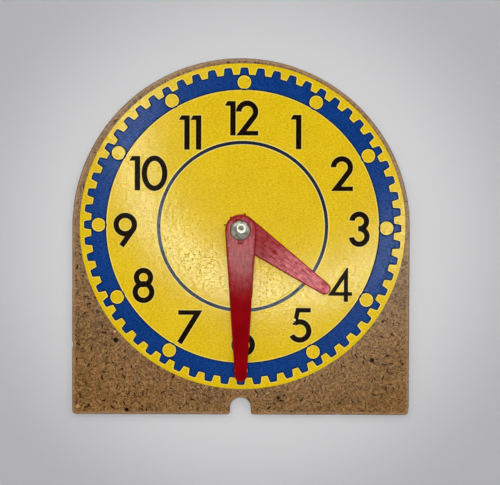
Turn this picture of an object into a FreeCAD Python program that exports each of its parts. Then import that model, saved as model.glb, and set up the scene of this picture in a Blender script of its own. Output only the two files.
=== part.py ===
import FreeCAD, Part
import os
import re
import Sketcher

# A small classroom teaching clock: a hardboard dial board with an arched top, a printed dial,
# and two loose moulded hands on one rivet.  Millimetres.  The clock lies on its back: the face
# looks up (+Z), 12 o'clock points along +Y, z = 0 is the back of the board, and x = y = 0 is
# the middle of the board's width and height.

# ---------------------------------------------------------------- driving dimensions

SIZES = {
    # the board, cut from hardboard sheet
    "board_width": 114.3,
    "board_height": 120.65,
    "board_thickness": 3.2,
    "board_corner_radius": 1.4,
    # the hanging notch in the bottom edge: an arch with straight sides and eased lips
    "notch_width": 7.1,
    "notch_depth": 5.75,
    "notch_lip_radius": 0.9,
    # the pivot, measured from the centre of the arched top
    "pivot_left": 0.2,
    "pivot_drop": 1.0,
    "board_hole_clearance": 0.15,
    "recess_side_clearance": 0.5,
    "recess_sink": 0.2,
    # the printed dial, measured from the centre of the arched top, and its angle clockwise
    "print_right": 0.55,
    "print_rise": 0.3,
    "print_angle": 0.5,
    "ground_thickness": 0.08,
    "ink_thickness": 0.05,
    # from the board's edge in to the ground's, and from there in to the tips of the teeth
    "ground_margin": 2.05,
    "tooth_margin": 1.45,
    # the printed gear ring: a band with a tooth for each minute and a window for each hour
    "gear_band_width": 5.05,
    "minute_teeth": 60,
    "tooth_height": 2.4,
    "tooth_root_width": 3.4,
    "tooth_tip_width": 2.5,
    "tooth_corner_radius": 0.5,
    "tooth_bury": 0.6,
    "hour_windows": 12,
    "window_margin": 0.175,
    # the thin ring inside the numerals: its middle is measured in from the gear ring
    "chapter_inset": 17.8,
    "chapter_width": 1.15,
    # the numerals' strokes
    "numeral_height": 11.6,
    "round_overshoot": 0.2,
    "stroke_width": 1.85,
    "crossbar_width": 1.55,
    "one_flag_reach": 1.85,
    "one_flag_slant": 0.95,
    "one_flag_depth": 1.6,
    "two_bowl_radius": 3.78,
    "two_lean": 52.5,
    "three_top_radius": 3.38,
    "three_top_trim": 5.0,
    "three_low_trim": 7.0,
    "three_middle_reach": 0.4,
    "four_stroke_width": 1.42,
    "four_crossbar_width": 1.25,
    "four_crossbar_rise": 2.05,
    "four_crossbar_reach": 1.35,
    "four_apex_width": 0.45,
    "four_lean": 56.0,
    "five_bowl_radius": 4.0,
    "five_tail_trim": 29.0,
    "five_shoulder": 54.0,
    "five_stem_lean": 12.0,
    "five_stem_left": 1.25,
    "five_top_reach": 3.75,
    "seven_half_width": 4.15,
    "seven_lean": 58.6,
    "eight_top_radius": 3.32,
    "eight_low_radius": 3.74,
    "nine_bowl_radius": 4.02,
    "nine_lean": 55.0,
    "zero_half_width": 4.39,
    "ten_spacing": 5.75,
    "eleven_spacing": 3.92,
    "twelve_spacing": 4.8,
    # each numeral's place: how far in from the gear ring, and how far clockwise from 12 o'clock
    "numeral_01_inset": 9.1,
    "numeral_01_angle": 30.5,
    "numeral_02_inset": 8.22,
    "numeral_02_angle": 61.9,
    "numeral_03_inset": 6.74,
    "numeral_03_angle": 91.1,
    "numeral_04_inset": 6.04,
    "numeral_04_angle": 119.2,
    "numeral_05_inset": 7.64,
    "numeral_05_angle": 149.7,
    "numeral_06_inset": 8.1,
    "numeral_06_angle": 179.5,
    "numeral_07_inset": 7.74,
    "numeral_07_angle": 207.2,
    "numeral_08_inset": 7.16,
    "numeral_08_angle": 239.1,
    "numeral_09_inset": 6.47,
    "numeral_09_angle": 267.9,
    "numeral_10_inset": 6.35,
    "numeral_10_angle": 296.7,
    "numeral_11_inset": 9.29,
    "numeral_11_angle": 329.2,
    "numeral_12_inset": 9.49,
    "numeral_12_angle": 354.7,
    # the two moulded hands
    "hand_thickness": 1.5,
    "hand_hub_radius": 5.2,
    "hand_tip_radius": 2.05,
    "hand_edge_round": 0.6,
    "minute_hand_length": 50.5,
    "hour_hand_length": 36.5,
    # where the hands point, clockwise from 12 o'clock
    "minute_hand_angle": 179.8,
    "hour_hand_angle": 124.9,
    # the hands are loose on the shank: how far each has slipped from the pivot, and which way
    "minute_hand_slip": 0.35,
    "minute_slip_angle": 155.0,
    "hour_hand_slip": 0.25,
    "hour_slip_angle": 35.0,
    "ejector_mark_radius": 1.15,
    "ejector_mark_depth": 0.1,
    "ejector_mark_reach": 3.25,
    # the rivet: domed head, hollow shank, end rolled outwards behind the board
    "rivet_head_radius": 3.175,
    "rivet_head_height": 1.25,
    "rivet_head_rim": 0.3,
    "rivet_shank_radius": 1.8,
    "rivet_bore_radius": 1.15,
    "rivet_bore_depth": 3.0,
    "rivet_roll_radius": 2.9,
    "rivet_roll_height": 0.7,
    # the washers, and the play that lets the hands turn
    "washer_radius": 4.2,
    "washer_thickness": 0.3,
    "back_washer_radius": 4.4,
    "back_washer_thickness": 0.5,
    "washer_bore_clearance": 0.1,
    "running_clearance": 0.08,
    "axial_play": 0.06,
}

# ---------------------------------------------------------------- levels and places

# Heights above the back of the board, as formulas of the sizes above.
DIAL_LEVEL = "board_thickness + ground_thickness"
HOUR_HAND_LEVEL = DIAL_LEVEL + " + washer_thickness + axial_play"
HAND_WASHER_LEVEL = HOUR_HAND_LEVEL + " + hand_thickness + axial_play"
MINUTE_HAND_LEVEL = HAND_WASHER_LEVEL + " + washer_thickness + axial_play"
RIVET_HEAD_LEVEL = MINUTE_HAND_LEVEL + " + hand_thickness + axial_play"
RECESS_DEPTH = "back_washer_thickness + rivet_roll_height + recess_sink"

# The arched top is a half circle as wide as the board, so its centre lies this far up.
ARCH_CENTRE_Y = "board_height / 2 - board_width / 2"
PIVOT_X = "-pivot_left"
PIVOT_Y = ARCH_CENTRE_Y + " - pivot_drop"
PRINT_X = "print_right"
PRINT_Y = ARCH_CENTRE_Y + " + print_rise"
# The print and the hands are turned clockwise, but a Placement turns counter-clockwise.
PRINT_TURN = "360 - print_angle"

# The print's radii, from the board's edge inwards.
GROUND_RADIUS = "(board_width / 2 - ground_margin)"
TOOTH_TIP_RADIUS = f"({GROUND_RADIUS} - tooth_margin)"
GEAR_ROOT_RADIUS = f"({TOOTH_TIP_RADIUS} - tooth_height)"
WINDOW_CIRCLE_RADIUS = f"({GEAR_ROOT_RADIUS} - gear_band_width / 2)"
WINDOW_RADIUS = "(gear_band_width / 2 - window_margin)"
GEAR_INNER_RADIUS = f"({GEAR_ROOT_RADIUS} - gear_band_width)"
CHAPTER_RADIUS = f"({GEAR_INNER_RADIUS} - chapter_inset)"

BOARD_HOLE_RADIUS = "rivet_shank_radius + board_hole_clearance"
WASHER_BORE_RADIUS = "rivet_shank_radius + washer_bore_clearance"

NUMERAL_TOP = "numeral_height / 2"
NUMERAL_BASE = "-numeral_height / 2"
ROUND_TOP = "(numeral_height / 2 + round_overshoot)"
ROUND_BASE = "(-numeral_height / 2 - round_overshoot)"

# How far the notch's outline runs out past the board's lower edge.
RUN_OUT = "board_thickness"

doc = FreeCAD.newDocument("TeachingClock")
sheet = doc.addObject("Spreadsheet::Sheet", "Sizes")
for row, (alias, size) in enumerate(SIZES.items(), start=1):
    sheet.set(f"A{row}", alias.replace("_", " "))
    sheet.set(f"B{row}", str(size))
    sheet.setAlias(f"B{row}", alias)
doc.recompute()

sub_parts = []


# ---------------------------------------------------------------- helpers: formulas

def cell_formula(text):
    """The formula with each size's name made a reference to its spreadsheet cell."""
    def reference(match):
        word = match.group()
        return "Sizes." + word if word in SIZES else word
    return re.sub(r"[a-z][a-z_0-9]*", reference, text)


def value(text):
    """What a formula comes to now."""
    return float(sheet.evalExpression(cell_formula(text)))


def bind(item, **formulas):
    """Bind properties of an object to formulas of the sizes."""
    for name, text in formulas.items():
        item.setExpression(name, cell_formula(text))
    return item


def place(item, x="0", y="0", z="0", turn="0"):
    """Bind an object's place, and its turn about the vertical."""
    item.setExpression("Placement.Base.x", cell_formula(x))
    item.setExpression("Placement.Base.y", cell_formula(y))
    item.setExpression("Placement.Base.z", cell_formula(z))
    item.setExpression("Placement.Rotation.Angle", cell_formula(turn))
    return item


def sub_part(item, label):
    """Name an object as one of the clock's pieces."""
    item.Label = label
    sub_parts.append(item)
    return item


# ---------------------------------------------------------------- helpers: sketched bodies

# Measures (mm, mm3) that differ by less than this are the same.
SAME = 1e-4
# Where an arc's middle point is first drawn; its sketch's dimensions then set the arc.
ARC_BULGE = 0.7


def new_sketch(body, name, role="XY_Plane", level="0"):
    """A sketch on one of its body's own origin planes, lifted to a level."""
    sketch = body.newObject("Sketcher::SketchObject", name)
    plane = next(item for item in body.Origin.OriginFeatures if item.Role == role)
    sketch.AttachmentSupport = [(plane, "")]
    sketch.MapMode = "FlatFace"
    sketch.setExpression("AttachmentOffset.Base.z", cell_formula(level))
    return sketch


def dimension(sketch, name, kind, where, formula):
    """A named dimension of a sketch, bound to a formula."""
    index = sketch.addConstraint(Sketcher.Constraint(kind, *where, value(formula)))
    sketch.renameConstraint(index, name)
    sketch.setExpression("Constraints." + name, cell_formula(formula))


def tie(sketch, kind, *where):
    """A geometric constraint of a sketch."""
    sketch.addConstraint(Sketcher.Constraint(kind, *where))


def point(x, y):
    return FreeCAD.Vector(x, y, 0)


def line(sketch, start, end):
    """A straight line; returns its index."""
    return sketch.addGeometry(Part.LineSegment(start, end), False)


def arc(sketch, start, middle, end):
    """An arc through three points, given counter-clockwise; returns its index."""
    return sketch.addGeometry(Part.Arc(start, middle, end), False)


def circle(sketch, name, radius, x="0", y="0"):
    """A dimensioned circle at a dimensioned centre."""
    up = FreeCAD.Vector(0, 0, 1)
    shape = Part.Circle(point(value(x), value(y)), up, value(radius))
    index = sketch.addGeometry(shape, False)
    dimension(sketch, name + "_radius", "Radius", (index,), radius)
    dimension(sketch, name + "_x", "DistanceX", (-1, 1, index, 3), x)
    dimension(sketch, name + "_y", "DistanceY", (-1, 1, index, 3), y)
    return index


def add_feature(body, kind, name, profile):
    """A feature of a body, made from a sketch."""
    feature = body.newObject(kind, name)
    feature.Profile = profile
    return feature


def pad(body, name, profile, length):
    """Material added upwards from a sketch."""
    feature = add_feature(body, "PartDesign::Pad", name, profile)
    bind(feature, Length=length)
    doc.recompute()
    return feature


def pocket(body, name, profile, depth, upwards=False):
    """Material cut away below a sketch, or above it; the cut must remove something."""
    before = body.Shape.Volume
    feature = add_feature(body, "PartDesign::Pocket", name, profile)
    feature.Reversed = upwards
    bind(feature, Length=depth)
    doc.recompute()
    if feature.Shape.Volume > before - SAME:
        raise ValueError(f"{name} cuts nothing")
    return feature


def polar_pattern(body, name, original, count):
    """Copies of a feature all round the body's own vertical axis."""
    pattern = body.newObject("PartDesign::PolarPattern", name)
    pattern.Originals = [original]
    axis = next(item for item in body.Origin.OriginFeatures if item.Role == "Z_Axis")
    pattern.Axis = (axis, [""])
    pattern.Angle = 360
    bind(pattern, Occurrences=count)
    body.Tip = pattern
    doc.recompute()
    return pattern


def round_edges(body, name, base, radius, wanted):
    """A fillet on the edges of a feature that pass a test."""
    chosen = [
        f"Edge{number}"
        for number, edge in enumerate(base.Shape.Edges, start=1)
        if wanted(edge)
    ]
    fillet = body.newObject("PartDesign::Fillet", name)
    fillet.Base = (base, chosen)
    bind(fillet, Radius=radius)
    doc.recompute()
    return fillet


def is_upright(edge):
    """Whether an edge is a straight one along Z."""
    ends = [vertex.Point for vertex in edge.Vertexes]
    if len(ends) != 2 or abs(ends[0].z - ends[1].z) < SAME:
        return False
    return abs(ends[0].x - ends[1].x) < SAME and abs(ends[0].y - ends[1].y) < SAME


# ---------------------------------------------------------------- helpers: solids and strokes

def cylinder(name, radius, height, x="0", y="0", z="0", turn="0", sweep="360"):
    """A round or part-round disc; its sweep runs counter-clockwise from its turn."""
    item = doc.addObject("Part::Cylinder", name)
    bind(item, Radius=radius, Height=height, Angle=sweep)
    return place(item, x, y, z, turn)


def drill(name, radius, thickness, x="0", y="0", level="0"):
    """A cutting cylinder for a piece that lies at a level, clear of both its faces."""
    return cylinder(name, radius, f"3 * ({thickness})", x, y, f"{level} - ({thickness})")


def cut(name, base, tool):
    """What is left of one solid outside another."""
    item = doc.addObject("Part::Cut", name)
    item.Base = base
    item.Tool = tool
    return item


def keep_inside(name, stroke, frame):
    """The part of a stroke that lies inside a frame."""
    item = doc.addObject("Part::Common", name)
    item.Base = stroke
    item.Tool = frame
    return item


def film_box(name, x_low, y_low, x_high, y_high):
    """An upright rectangle as thick as the ink, between two corners."""
    item = doc.addObject("Part::Box", name)
    bind(item, Length=f"({x_high}) - ({x_low})", Width=f"({y_high}) - ({y_low})")
    bind(item, Height="ink_thickness")
    return place(item, x_low, y_low)


def bar(name, x, y, length, width, direction):
    """A straight stroke whose middle line leaves (x, y) in a direction in degrees."""
    item = doc.addObject("Part::Box", name)
    bind(item, Length=length, Width=width, Height="ink_thickness")
    corner_x = f"({x}) + ({width}) / 2 * sin({direction})"
    corner_y = f"({y}) - ({width}) / 2 * cos({direction})"
    return place(item, corner_x, corner_y, "0", direction)


def bowl(name, x, y, radius, width, start="0", sweep="360"):
    """A round stroke: a ring or part of one, of a given outer radius."""
    outer = cylinder(name + "_outer", radius, "ink_thickness", x, y, "0", start, sweep)
    inner = drill(name + "_inner", f"({radius}) - ({width})", "ink_thickness", x, y)
    return cut(name, outer, inner)


# ---------------------------------------------------------------- the board

def make_backboard():
    """Arched board with rounded lower corners, a hanging notch and the pivot's hole."""
    body = doc.addObject("PartDesign::Body", "backboard")
    half_width = value("board_width / 2")
    base_y = value("-board_height / 2")
    centre_y = value(ARCH_CENTRE_Y)

    outline = new_sketch(body, "board_outline")
    right = line(outline, point(half_width, base_y), point(half_width, centre_y))
    top = arc(
        outline,
        point(half_width, centre_y),
        point(0, centre_y + half_width),
        point(-half_width, centre_y),
    )
    left = line(outline, point(-half_width, centre_y), point(-half_width, base_y))
    bottom = line(outline, point(-half_width, base_y), point(half_width, base_y))
    tie(outline, "Tangent", right, 2, top, 1)
    tie(outline, "Tangent", top, 2, left, 1)
    tie(outline, "Coincident", left, 2, bottom, 1)
    tie(outline, "Coincident", bottom, 2, right, 1)
    tie(outline, "Vertical", right)
    tie(outline, "Vertical", left)
    tie(outline, "Horizontal", bottom)
    tie(outline, "PointOnObject", top, 3, -2)
    dimension(outline, "arch_radius", "Radius", (top,), "board_width / 2")
    dimension(outline, "side", "DistanceY", (right, 1, top, 3), "board_height - board_width / 2")
    dimension(outline, "base", "DistanceY", (right, 1, -1, 1), "board_height / 2")
    sheet_pad = pad(body, "board_sheet", outline, "board_thickness")

    def lower_corner(edge):
        return is_upright(edge) and edge.Vertexes[0].Y < base_y + SAME

    corners = round_edges(body, "board_corners", sheet_pad, "board_corner_radius", lower_corner)

    notch_half = value("notch_width / 2")
    arch_y = value("-board_height / 2 + notch_depth - notch_width / 2")
    below_y = value(f"-board_height / 2 - {RUN_OUT}")
    notch = new_sketch(body, "notch_outline", level="board_thickness")
    notch_right = line(notch, point(notch_half, below_y), point(notch_half, arch_y))
    notch_top = arc(
        notch,
        point(notch_half, arch_y),
        point(0, arch_y + notch_half),
        point(-notch_half, arch_y),
    )
    notch_left = line(notch, point(-notch_half, arch_y), point(-notch_half, below_y))
    mouth = line(notch, point(-notch_half, below_y), point(notch_half, below_y))
    tie(notch, "Tangent", notch_right, 2, notch_top, 1)
    tie(notch, "Tangent", notch_top, 2, notch_left, 1)
    tie(notch, "Coincident", notch_left, 2, mouth, 1)
    tie(notch, "Coincident", mouth, 2, notch_right, 1)
    tie(notch, "Vertical", notch_right)
    tie(notch, "Vertical", notch_left)
    tie(notch, "Horizontal", mouth)
    tie(notch, "PointOnObject", notch_top, 3, -2)
    dimension(notch, "notch_radius", "Radius", (notch_top,), "notch_width / 2")
    crown = "board_height / 2 - notch_depth + notch_width / 2"
    dimension(notch, "crown", "DistanceY", (notch_top, 3, -1, 1), crown)
    reach = "notch_depth - notch_width / 2 + " + RUN_OUT
    dimension(notch, "mouth", "DistanceY", (notch_right, 1, notch_top, 3), reach)
    notch_cut = pocket(body, "notch_cut", notch, "board_thickness")

    def notch_lip(edge):
        corner = edge.Vertexes[0].Point
        return lower_corner(edge) and abs(abs(corner.x) - notch_half) < SAME

    round_edges(body, "notch_lips", notch_cut, "notch_lip_radius", notch_lip)

    hole = new_sketch(body, "pivot_hole_outline", level="board_thickness")
    circle(hole, "pivot_hole", BOARD_HOLE_RADIUS, PIVOT_X, PIVOT_Y)
    pocket(body, "pivot_hole_cut", hole, "board_thickness")

    recess = new_sketch(body, "recess_outline")
    circle(recess, "recess", "back_washer_radius + recess_side_clearance", PIVOT_X, PIVOT_Y)
    pocket(body, "recess_cut", recess, RECESS_DEPTH, upwards=True)
    return sub_part(body, "backboard")


# ---------------------------------------------------------------- the printed dial

def make_dial_ground():
    """The yellow ground: a round film of enamel, pierced at the pivot."""
    level = "board_thickness"
    disc = cylinder("ground_disc", GROUND_RADIUS, "ground_thickness", PRINT_X, PRINT_Y, level)
    pierce = drill(
        "ground_pierce", BOARD_HOLE_RADIUS, "ground_thickness", PIVOT_X, PIVOT_Y, level
    )
    return sub_part(cut("dial_ground_print", disc, pierce), "dial_ground_print")


def make_gear_ring():
    """The blue ring: a band, a rounded tooth for each minute and a window for each hour."""
    body = doc.addObject("PartDesign::Body", "gear_ring_print")
    band = new_sketch(body, "band_outline")
    circle(band, "root", GEAR_ROOT_RADIUS)
    circle(band, "inner", GEAR_INNER_RADIUS)
    pad(body, "band", band, "ink_thickness")

    root_half = value("tooth_root_width / 2")
    corner = value("tooth_corner_radius")
    corner_x = value("tooth_tip_width / 2 - tooth_corner_radius")
    root_place = f"{GEAR_ROOT_RADIUS} - tooth_bury"
    root_y = value(root_place)
    tip_y = value(TOOTH_TIP_RADIUS)
    tooth = new_sketch(body, "tooth_outline")
    foot = line(tooth, point(-root_half, root_y), point(root_half, root_y))
    flank_right = line(
        tooth, point(root_half, root_y), point(corner_x + corner, tip_y - corner)
    )
    bulge_x = corner_x + corner * ARC_BULGE
    bulge_y = tip_y - corner * (1 - ARC_BULGE)
    turn_right = arc(
        tooth,
        point(corner_x + corner, tip_y - corner),
        point(bulge_x, bulge_y),
        point(corner_x, tip_y),
    )
    tip = line(tooth, point(corner_x, tip_y), point(-corner_x, tip_y))
    turn_left = arc(
        tooth,
        point(-corner_x, tip_y),
        point(-bulge_x, bulge_y),
        point(-corner_x - corner, tip_y - corner),
    )
    flank_left = line(
        tooth, point(-corner_x - corner, tip_y - corner), point(-root_half, root_y)
    )
    tie(tooth, "Coincident", foot, 2, flank_right, 1)
    tie(tooth, "Tangent", flank_right, 2, turn_right, 1)
    tie(tooth, "Tangent", turn_right, 2, tip, 1)
    tie(tooth, "Tangent", tip, 2, turn_left, 1)
    tie(tooth, "Tangent", turn_left, 2, flank_left, 1)
    tie(tooth, "Coincident", flank_left, 2, foot, 1)
    tie(tooth, "Symmetric", foot, 1, foot, 2, -2)
    tie(tooth, "Symmetric", tip, 1, tip, 2, -2)
    tie(tooth, "Equal", turn_right, turn_left)
    dimension(tooth, "corner", "Radius", (turn_right,), "tooth_corner_radius")
    dimension(tooth, "root_width", "DistanceX", (foot, 1, foot, 2), "tooth_root_width")
    dimension(tooth, "root_place", "DistanceY", (-1, 1, foot, 1), root_place)
    dimension(tooth, "tip_place", "DistanceY", (-1, 1, tip, 1), TOOTH_TIP_RADIUS)
    tip_flat = "tooth_tip_width - 2 * tooth_corner_radius"
    dimension(tooth, "tip_flat", "DistanceX", (tip, 2, tip, 1), tip_flat)
    one_tooth = pad(body, "tooth", tooth, "ink_thickness")
    polar_pattern(body, "teeth", one_tooth, "minute_teeth")

    window = new_sketch(body, "window_outline", level="ink_thickness")
    circle(window, "window", WINDOW_RADIUS, "0", WINDOW_CIRCLE_RADIUS)
    one_window = pocket(body, "window", window, "ink_thickness")
    polar_pattern(body, "windows", one_window, "hour_windows")
    place(body, PRINT_X, PRINT_Y, DIAL_LEVEL, PRINT_TURN)
    return sub_part(body, "gear_ring_print")


def make_chapter_ring():
    """The thin blue ring inside the numerals."""
    outer_radius = f"{CHAPTER_RADIUS} + chapter_width / 2"
    inner_radius = f"{CHAPTER_RADIUS} - chapter_width / 2"
    outer = cylinder("chapter_outer", outer_radius, "ink_thickness", PRINT_X, PRINT_Y, DIAL_LEVEL)
    inner = drill("chapter_inner", inner_radius, "ink_thickness", PRINT_X, PRINT_Y, DIAL_LEVEL)
    return sub_part(cut("chapter_ring_print", outer, inner), "chapter_ring_print")


# ---------------------------------------------------------------- the numerals

# Each glyph's origin is halfway up it; x = 0 is its stem or the middle of its bowls.

def draw_one(name, x="0"):
    """A stem with a short flag at its top left."""
    left = f"({x}) - stroke_width / 2"
    right = f"({x}) + stroke_width / 2"
    stem = film_box(name + "_stem", left, NUMERAL_BASE, right, NUMERAL_TOP)
    flag = doc.addObject("Part::Wedge", name + "_flag")
    bind(flag, Xmin=f"({x}) - stroke_width / 2 - one_flag_reach", Xmax=x)
    bind(flag, X2min=f"({x}) - stroke_width / 2 - one_flag_slant", X2max=x)
    bind(flag, Ymin="numeral_height / 2 - one_flag_depth", Ymax=NUMERAL_TOP)
    bind(flag, Zmin="0", Zmax="ink_thickness", Z2min="0", Z2max="ink_thickness")
    return [stem, flag]


def draw_two(name, x="0"):
    """A bowl, a straight leg tangent to it, and a foot."""
    middle = "(two_bowl_radius - stroke_width / 2)"
    centre_y = f"({ROUND_TOP} - two_bowl_radius)"
    leg_x = f"({x} + {middle} * sin(two_lean))"
    leg_y = f"({centre_y} - {middle} * cos(two_lean))"
    drop = f"({leg_y} + numeral_height / 2)"
    arch = bowl(
        name + "_bowl", x, centre_y, "two_bowl_radius", "stroke_width",
        "two_lean - 90", "270 - two_lean",
    )
    length = f"{drop} / sin(two_lean) + stroke_width"
    whole_leg = bar(name + "_long_leg", leg_x, leg_y, length, "stroke_width", "180 + two_lean")
    frame = film_box(
        name + "_frame", f"{x} - 2 * numeral_height", NUMERAL_BASE,
        f"{x} + 2 * numeral_height", NUMERAL_TOP,
    )
    leg = keep_inside(name + "_leg", whole_leg, frame)
    foot_x = f"{leg_x} - ({drop} - crossbar_width / 2) / tan(two_lean)"
    foot = film_box(
        name + "_foot", foot_x, NUMERAL_BASE,
        f"{x} + two_bowl_radius", f"{NUMERAL_BASE} + crossbar_width",
    )
    return [arch, leg, foot]


def draw_three(name):
    """Two open bowls that share their middle stroke."""
    low_radius = f"(({ROUND_TOP} - {ROUND_BASE} + stroke_width) / 2 - three_top_radius)"
    top_y = f"{ROUND_TOP} - three_top_radius"
    low_y = f"{ROUND_BASE} + {low_radius}"
    top = bowl(
        name + "_top", "0", top_y, "three_top_radius", "stroke_width",
        "270", "270 - three_top_trim",
    )
    low = bowl(
        name + "_low", "0", low_y, low_radius, "stroke_width",
        "180 + three_low_trim", "270 - three_low_trim",
    )
    middle_y = f"{ROUND_TOP} - 2 * three_top_radius + stroke_width / 2"
    start_x = "-three_middle_reach"
    tongue = bar(name + "_tongue", start_x, middle_y, "2 * three_middle_reach", "stroke_width", "0")
    return [top, low, tongue]


def draw_four(name):
    """A stem, a leaning stroke that meets its top, and a crossbar through both."""
    half_stem = "four_stroke_width / 2"
    slope = "(four_stroke_width / 2 / sin(four_lean))"
    bar_base = f"({NUMERAL_BASE} + four_crossbar_rise)"
    apex_x = f"({half_stem} - four_apex_width + {slope})"
    drop = f"({NUMERAL_TOP} - {bar_base})"
    stem_top = f"{NUMERAL_TOP} - (four_stroke_width - four_apex_width) * tan(four_lean)"
    stem = film_box(name + "_stem", f"-{half_stem}", NUMERAL_BASE, half_stem, stem_top)
    whole_leg = bar(
        name + "_long_leg",
        f"{apex_x} + numeral_height / 2 * cos(four_lean)",
        f"{NUMERAL_TOP} + numeral_height / 2 * sin(four_lean)",
        "3 * numeral_height",
        "four_stroke_width",
        "180 + four_lean",
    )
    frame = film_box(name + "_frame", "-2 * numeral_height", bar_base, half_stem, NUMERAL_TOP)
    leg = keep_inside(name + "_leg", whole_leg, frame)
    bar_left = f"{apex_x} - ({drop} - four_crossbar_width / 2) / tan(four_lean)"
    bar_right = f"{half_stem} + four_crossbar_reach"
    bar_top = f"{bar_base} + four_crossbar_width"
    crossbar = film_box(name + "_crossbar", bar_left, bar_base, bar_right, bar_top)
    return [stem, leg, crossbar]


def draw_five(name):
    """A bowl open at the lower left, a leaning stem at its shoulder, and a top bar."""
    centre_y = f"({ROUND_BASE} + five_bowl_radius)"
    middle = "(five_bowl_radius - stroke_width / 2)"
    round_part = bowl(
        name + "_bowl", "0", centre_y, "five_bowl_radius", "stroke_width",
        "180 + five_tail_trim", "360 - five_tail_trim - five_shoulder",
    )
    shoulder_y = f"({centre_y} + {middle} * sin(five_shoulder) - stroke_width / 4)"
    stem_x = "(-five_stem_left + crossbar_width / 2)"
    stem = bar(
        name + "_long_stem",
        f"{stem_x} + numeral_height / 4 * sin(five_stem_lean)",
        f"{NUMERAL_TOP} + numeral_height / 4 * cos(five_stem_lean)",
        "numeral_height",
        "crossbar_width",
        "270 - five_stem_lean",
    )
    frame = film_box(name + "_frame", "-numeral_height", shoulder_y, "numeral_height", NUMERAL_TOP)
    short_stem = keep_inside(name + "_stem", stem, frame)
    top_base = f"{NUMERAL_TOP} - crossbar_width"
    top_bar = film_box(name + "_top", stem_x, top_base, "five_top_reach", NUMERAL_TOP)
    return [round_part, short_stem, top_bar]


def draw_seven(name):
    """A top bar and a leaning leg with a square end."""
    foot_x = "(seven_half_width - numeral_height / tan(seven_lean))"
    whole_leg = bar(
        name + "_long_leg",
        f"{foot_x} - stroke_width / 2 * sin(seven_lean)",
        f"{NUMERAL_BASE} + stroke_width / 2 * cos(seven_lean)",
        "2 * numeral_height",
        "stroke_width",
        "seven_lean",
    )
    frame = film_box(
        name + "_frame", "-2 * numeral_height", f"2 * {NUMERAL_BASE}",
        "seven_half_width", NUMERAL_TOP,
    )
    leg = keep_inside(name + "_leg", whole_leg, frame)
    bar_base = f"{NUMERAL_TOP} - crossbar_width"
    top_bar = film_box(
        name + "_top", "-seven_half_width", bar_base,
        "seven_half_width - stroke_width / 2", NUMERAL_TOP,
    )
    return [leg, top_bar]


def draw_eight(name):
    """A small ring that overlaps a larger ring below it."""
    top_y = f"{ROUND_TOP} - eight_top_radius"
    low_y = f"{ROUND_BASE} + eight_low_radius"
    top = bowl(name + "_top", "0", top_y, "eight_top_radius", "stroke_width")
    low = bowl(name + "_low", "0", low_y, "eight_low_radius", "stroke_width")
    return [top, low]


def draw_nine(name):
    """A ring and a straight tail tangent to its outer edge, cut square."""
    centre_y = f"({ROUND_TOP} - nine_bowl_radius)"
    middle = "(nine_bowl_radius - stroke_width / 2)"
    ring = bowl(name + "_ring", "0", centre_y, "nine_bowl_radius", "stroke_width")
    drop = f"({centre_y} - nine_bowl_radius * cos(nine_lean) + numeral_height / 2)"
    tail = bar(
        name + "_tail",
        f"{middle} * sin(nine_lean)",
        f"{centre_y} - {middle} * cos(nine_lean)",
        f"{drop} / sin(nine_lean)",
        "stroke_width",
        "180 + nine_lean",
    )
    return [ring, tail]


def draw_zero(name, x):
    """An upright oval ring: an outer and an inner ellipse, pressed out to the ink's depth."""
    def oval(part, half_width, half_height, thickness, level):
        rim = doc.addObject("Part::Ellipse", f"{name}_{part}_rim")
        bind(rim, MajorRadius=half_height, MinorRadius=half_width)
        place(rim, x, "0", level, "90")
        solid = doc.addObject("Part::Extrusion", f"{name}_{part}")
        solid.Base = rim
        solid.DirMode = "Custom"
        solid.Dir = FreeCAD.Vector(0, 0, 1)
        solid.Solid = True
        solid.FaceMakerClass = "Part::FaceMakerCheese"
        return bind(solid, LengthFwd=thickness)

    outer = oval("outer", "zero_half_width", ROUND_TOP, "ink_thickness", "0")
    inner_width = "zero_half_width - stroke_width"
    inner_height = f"{ROUND_TOP} - stroke_width"
    inner = oval("inner", inner_width, inner_height, "3 * ink_thickness", "-ink_thickness")
    return [cut(name, outer, inner)]


def make_numeral(hour, strokes, turn="0"):
    """Fuse a numeral's strokes and set it at its place on the dial."""
    label = f"numeral_{hour:02d}"
    numeral = doc.addObject("Part::MultiFuse", label)
    numeral.Shapes = strokes
    numeral.Refine = True
    reach = f"({GEAR_INNER_RADIUS} - {label}_inset)"
    across = f"{PRINT_X} + {reach} * sin({label}_angle)"
    up = f"{PRINT_Y} + {reach} * cos({label}_angle)"
    place(numeral, across, up, DIAL_LEVEL, turn)
    return sub_part(numeral, label)


def make_numerals():
    """The twelve numerals; six is a nine turned upside down."""
    make_numeral(1, draw_one("one"))
    make_numeral(2, draw_two("two"))
    make_numeral(3, draw_three("three"))
    make_numeral(4, draw_four("four"))
    make_numeral(5, draw_five("five"))
    make_numeral(6, draw_nine("six"), turn="180")
    make_numeral(7, draw_seven("seven"))
    make_numeral(8, draw_eight("eight"))
    make_numeral(9, draw_nine("nine"))
    make_numeral(10, draw_one("ten_one") + draw_zero("ten_zero", "ten_spacing"))
    make_numeral(11, draw_one("eleven_left") + draw_one("eleven_right", "eleven_spacing"))
    make_numeral(12, draw_one("twelve_one") + draw_two("twelve_two", "twelve_spacing"))


# ---------------------------------------------------------------- the hands

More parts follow.
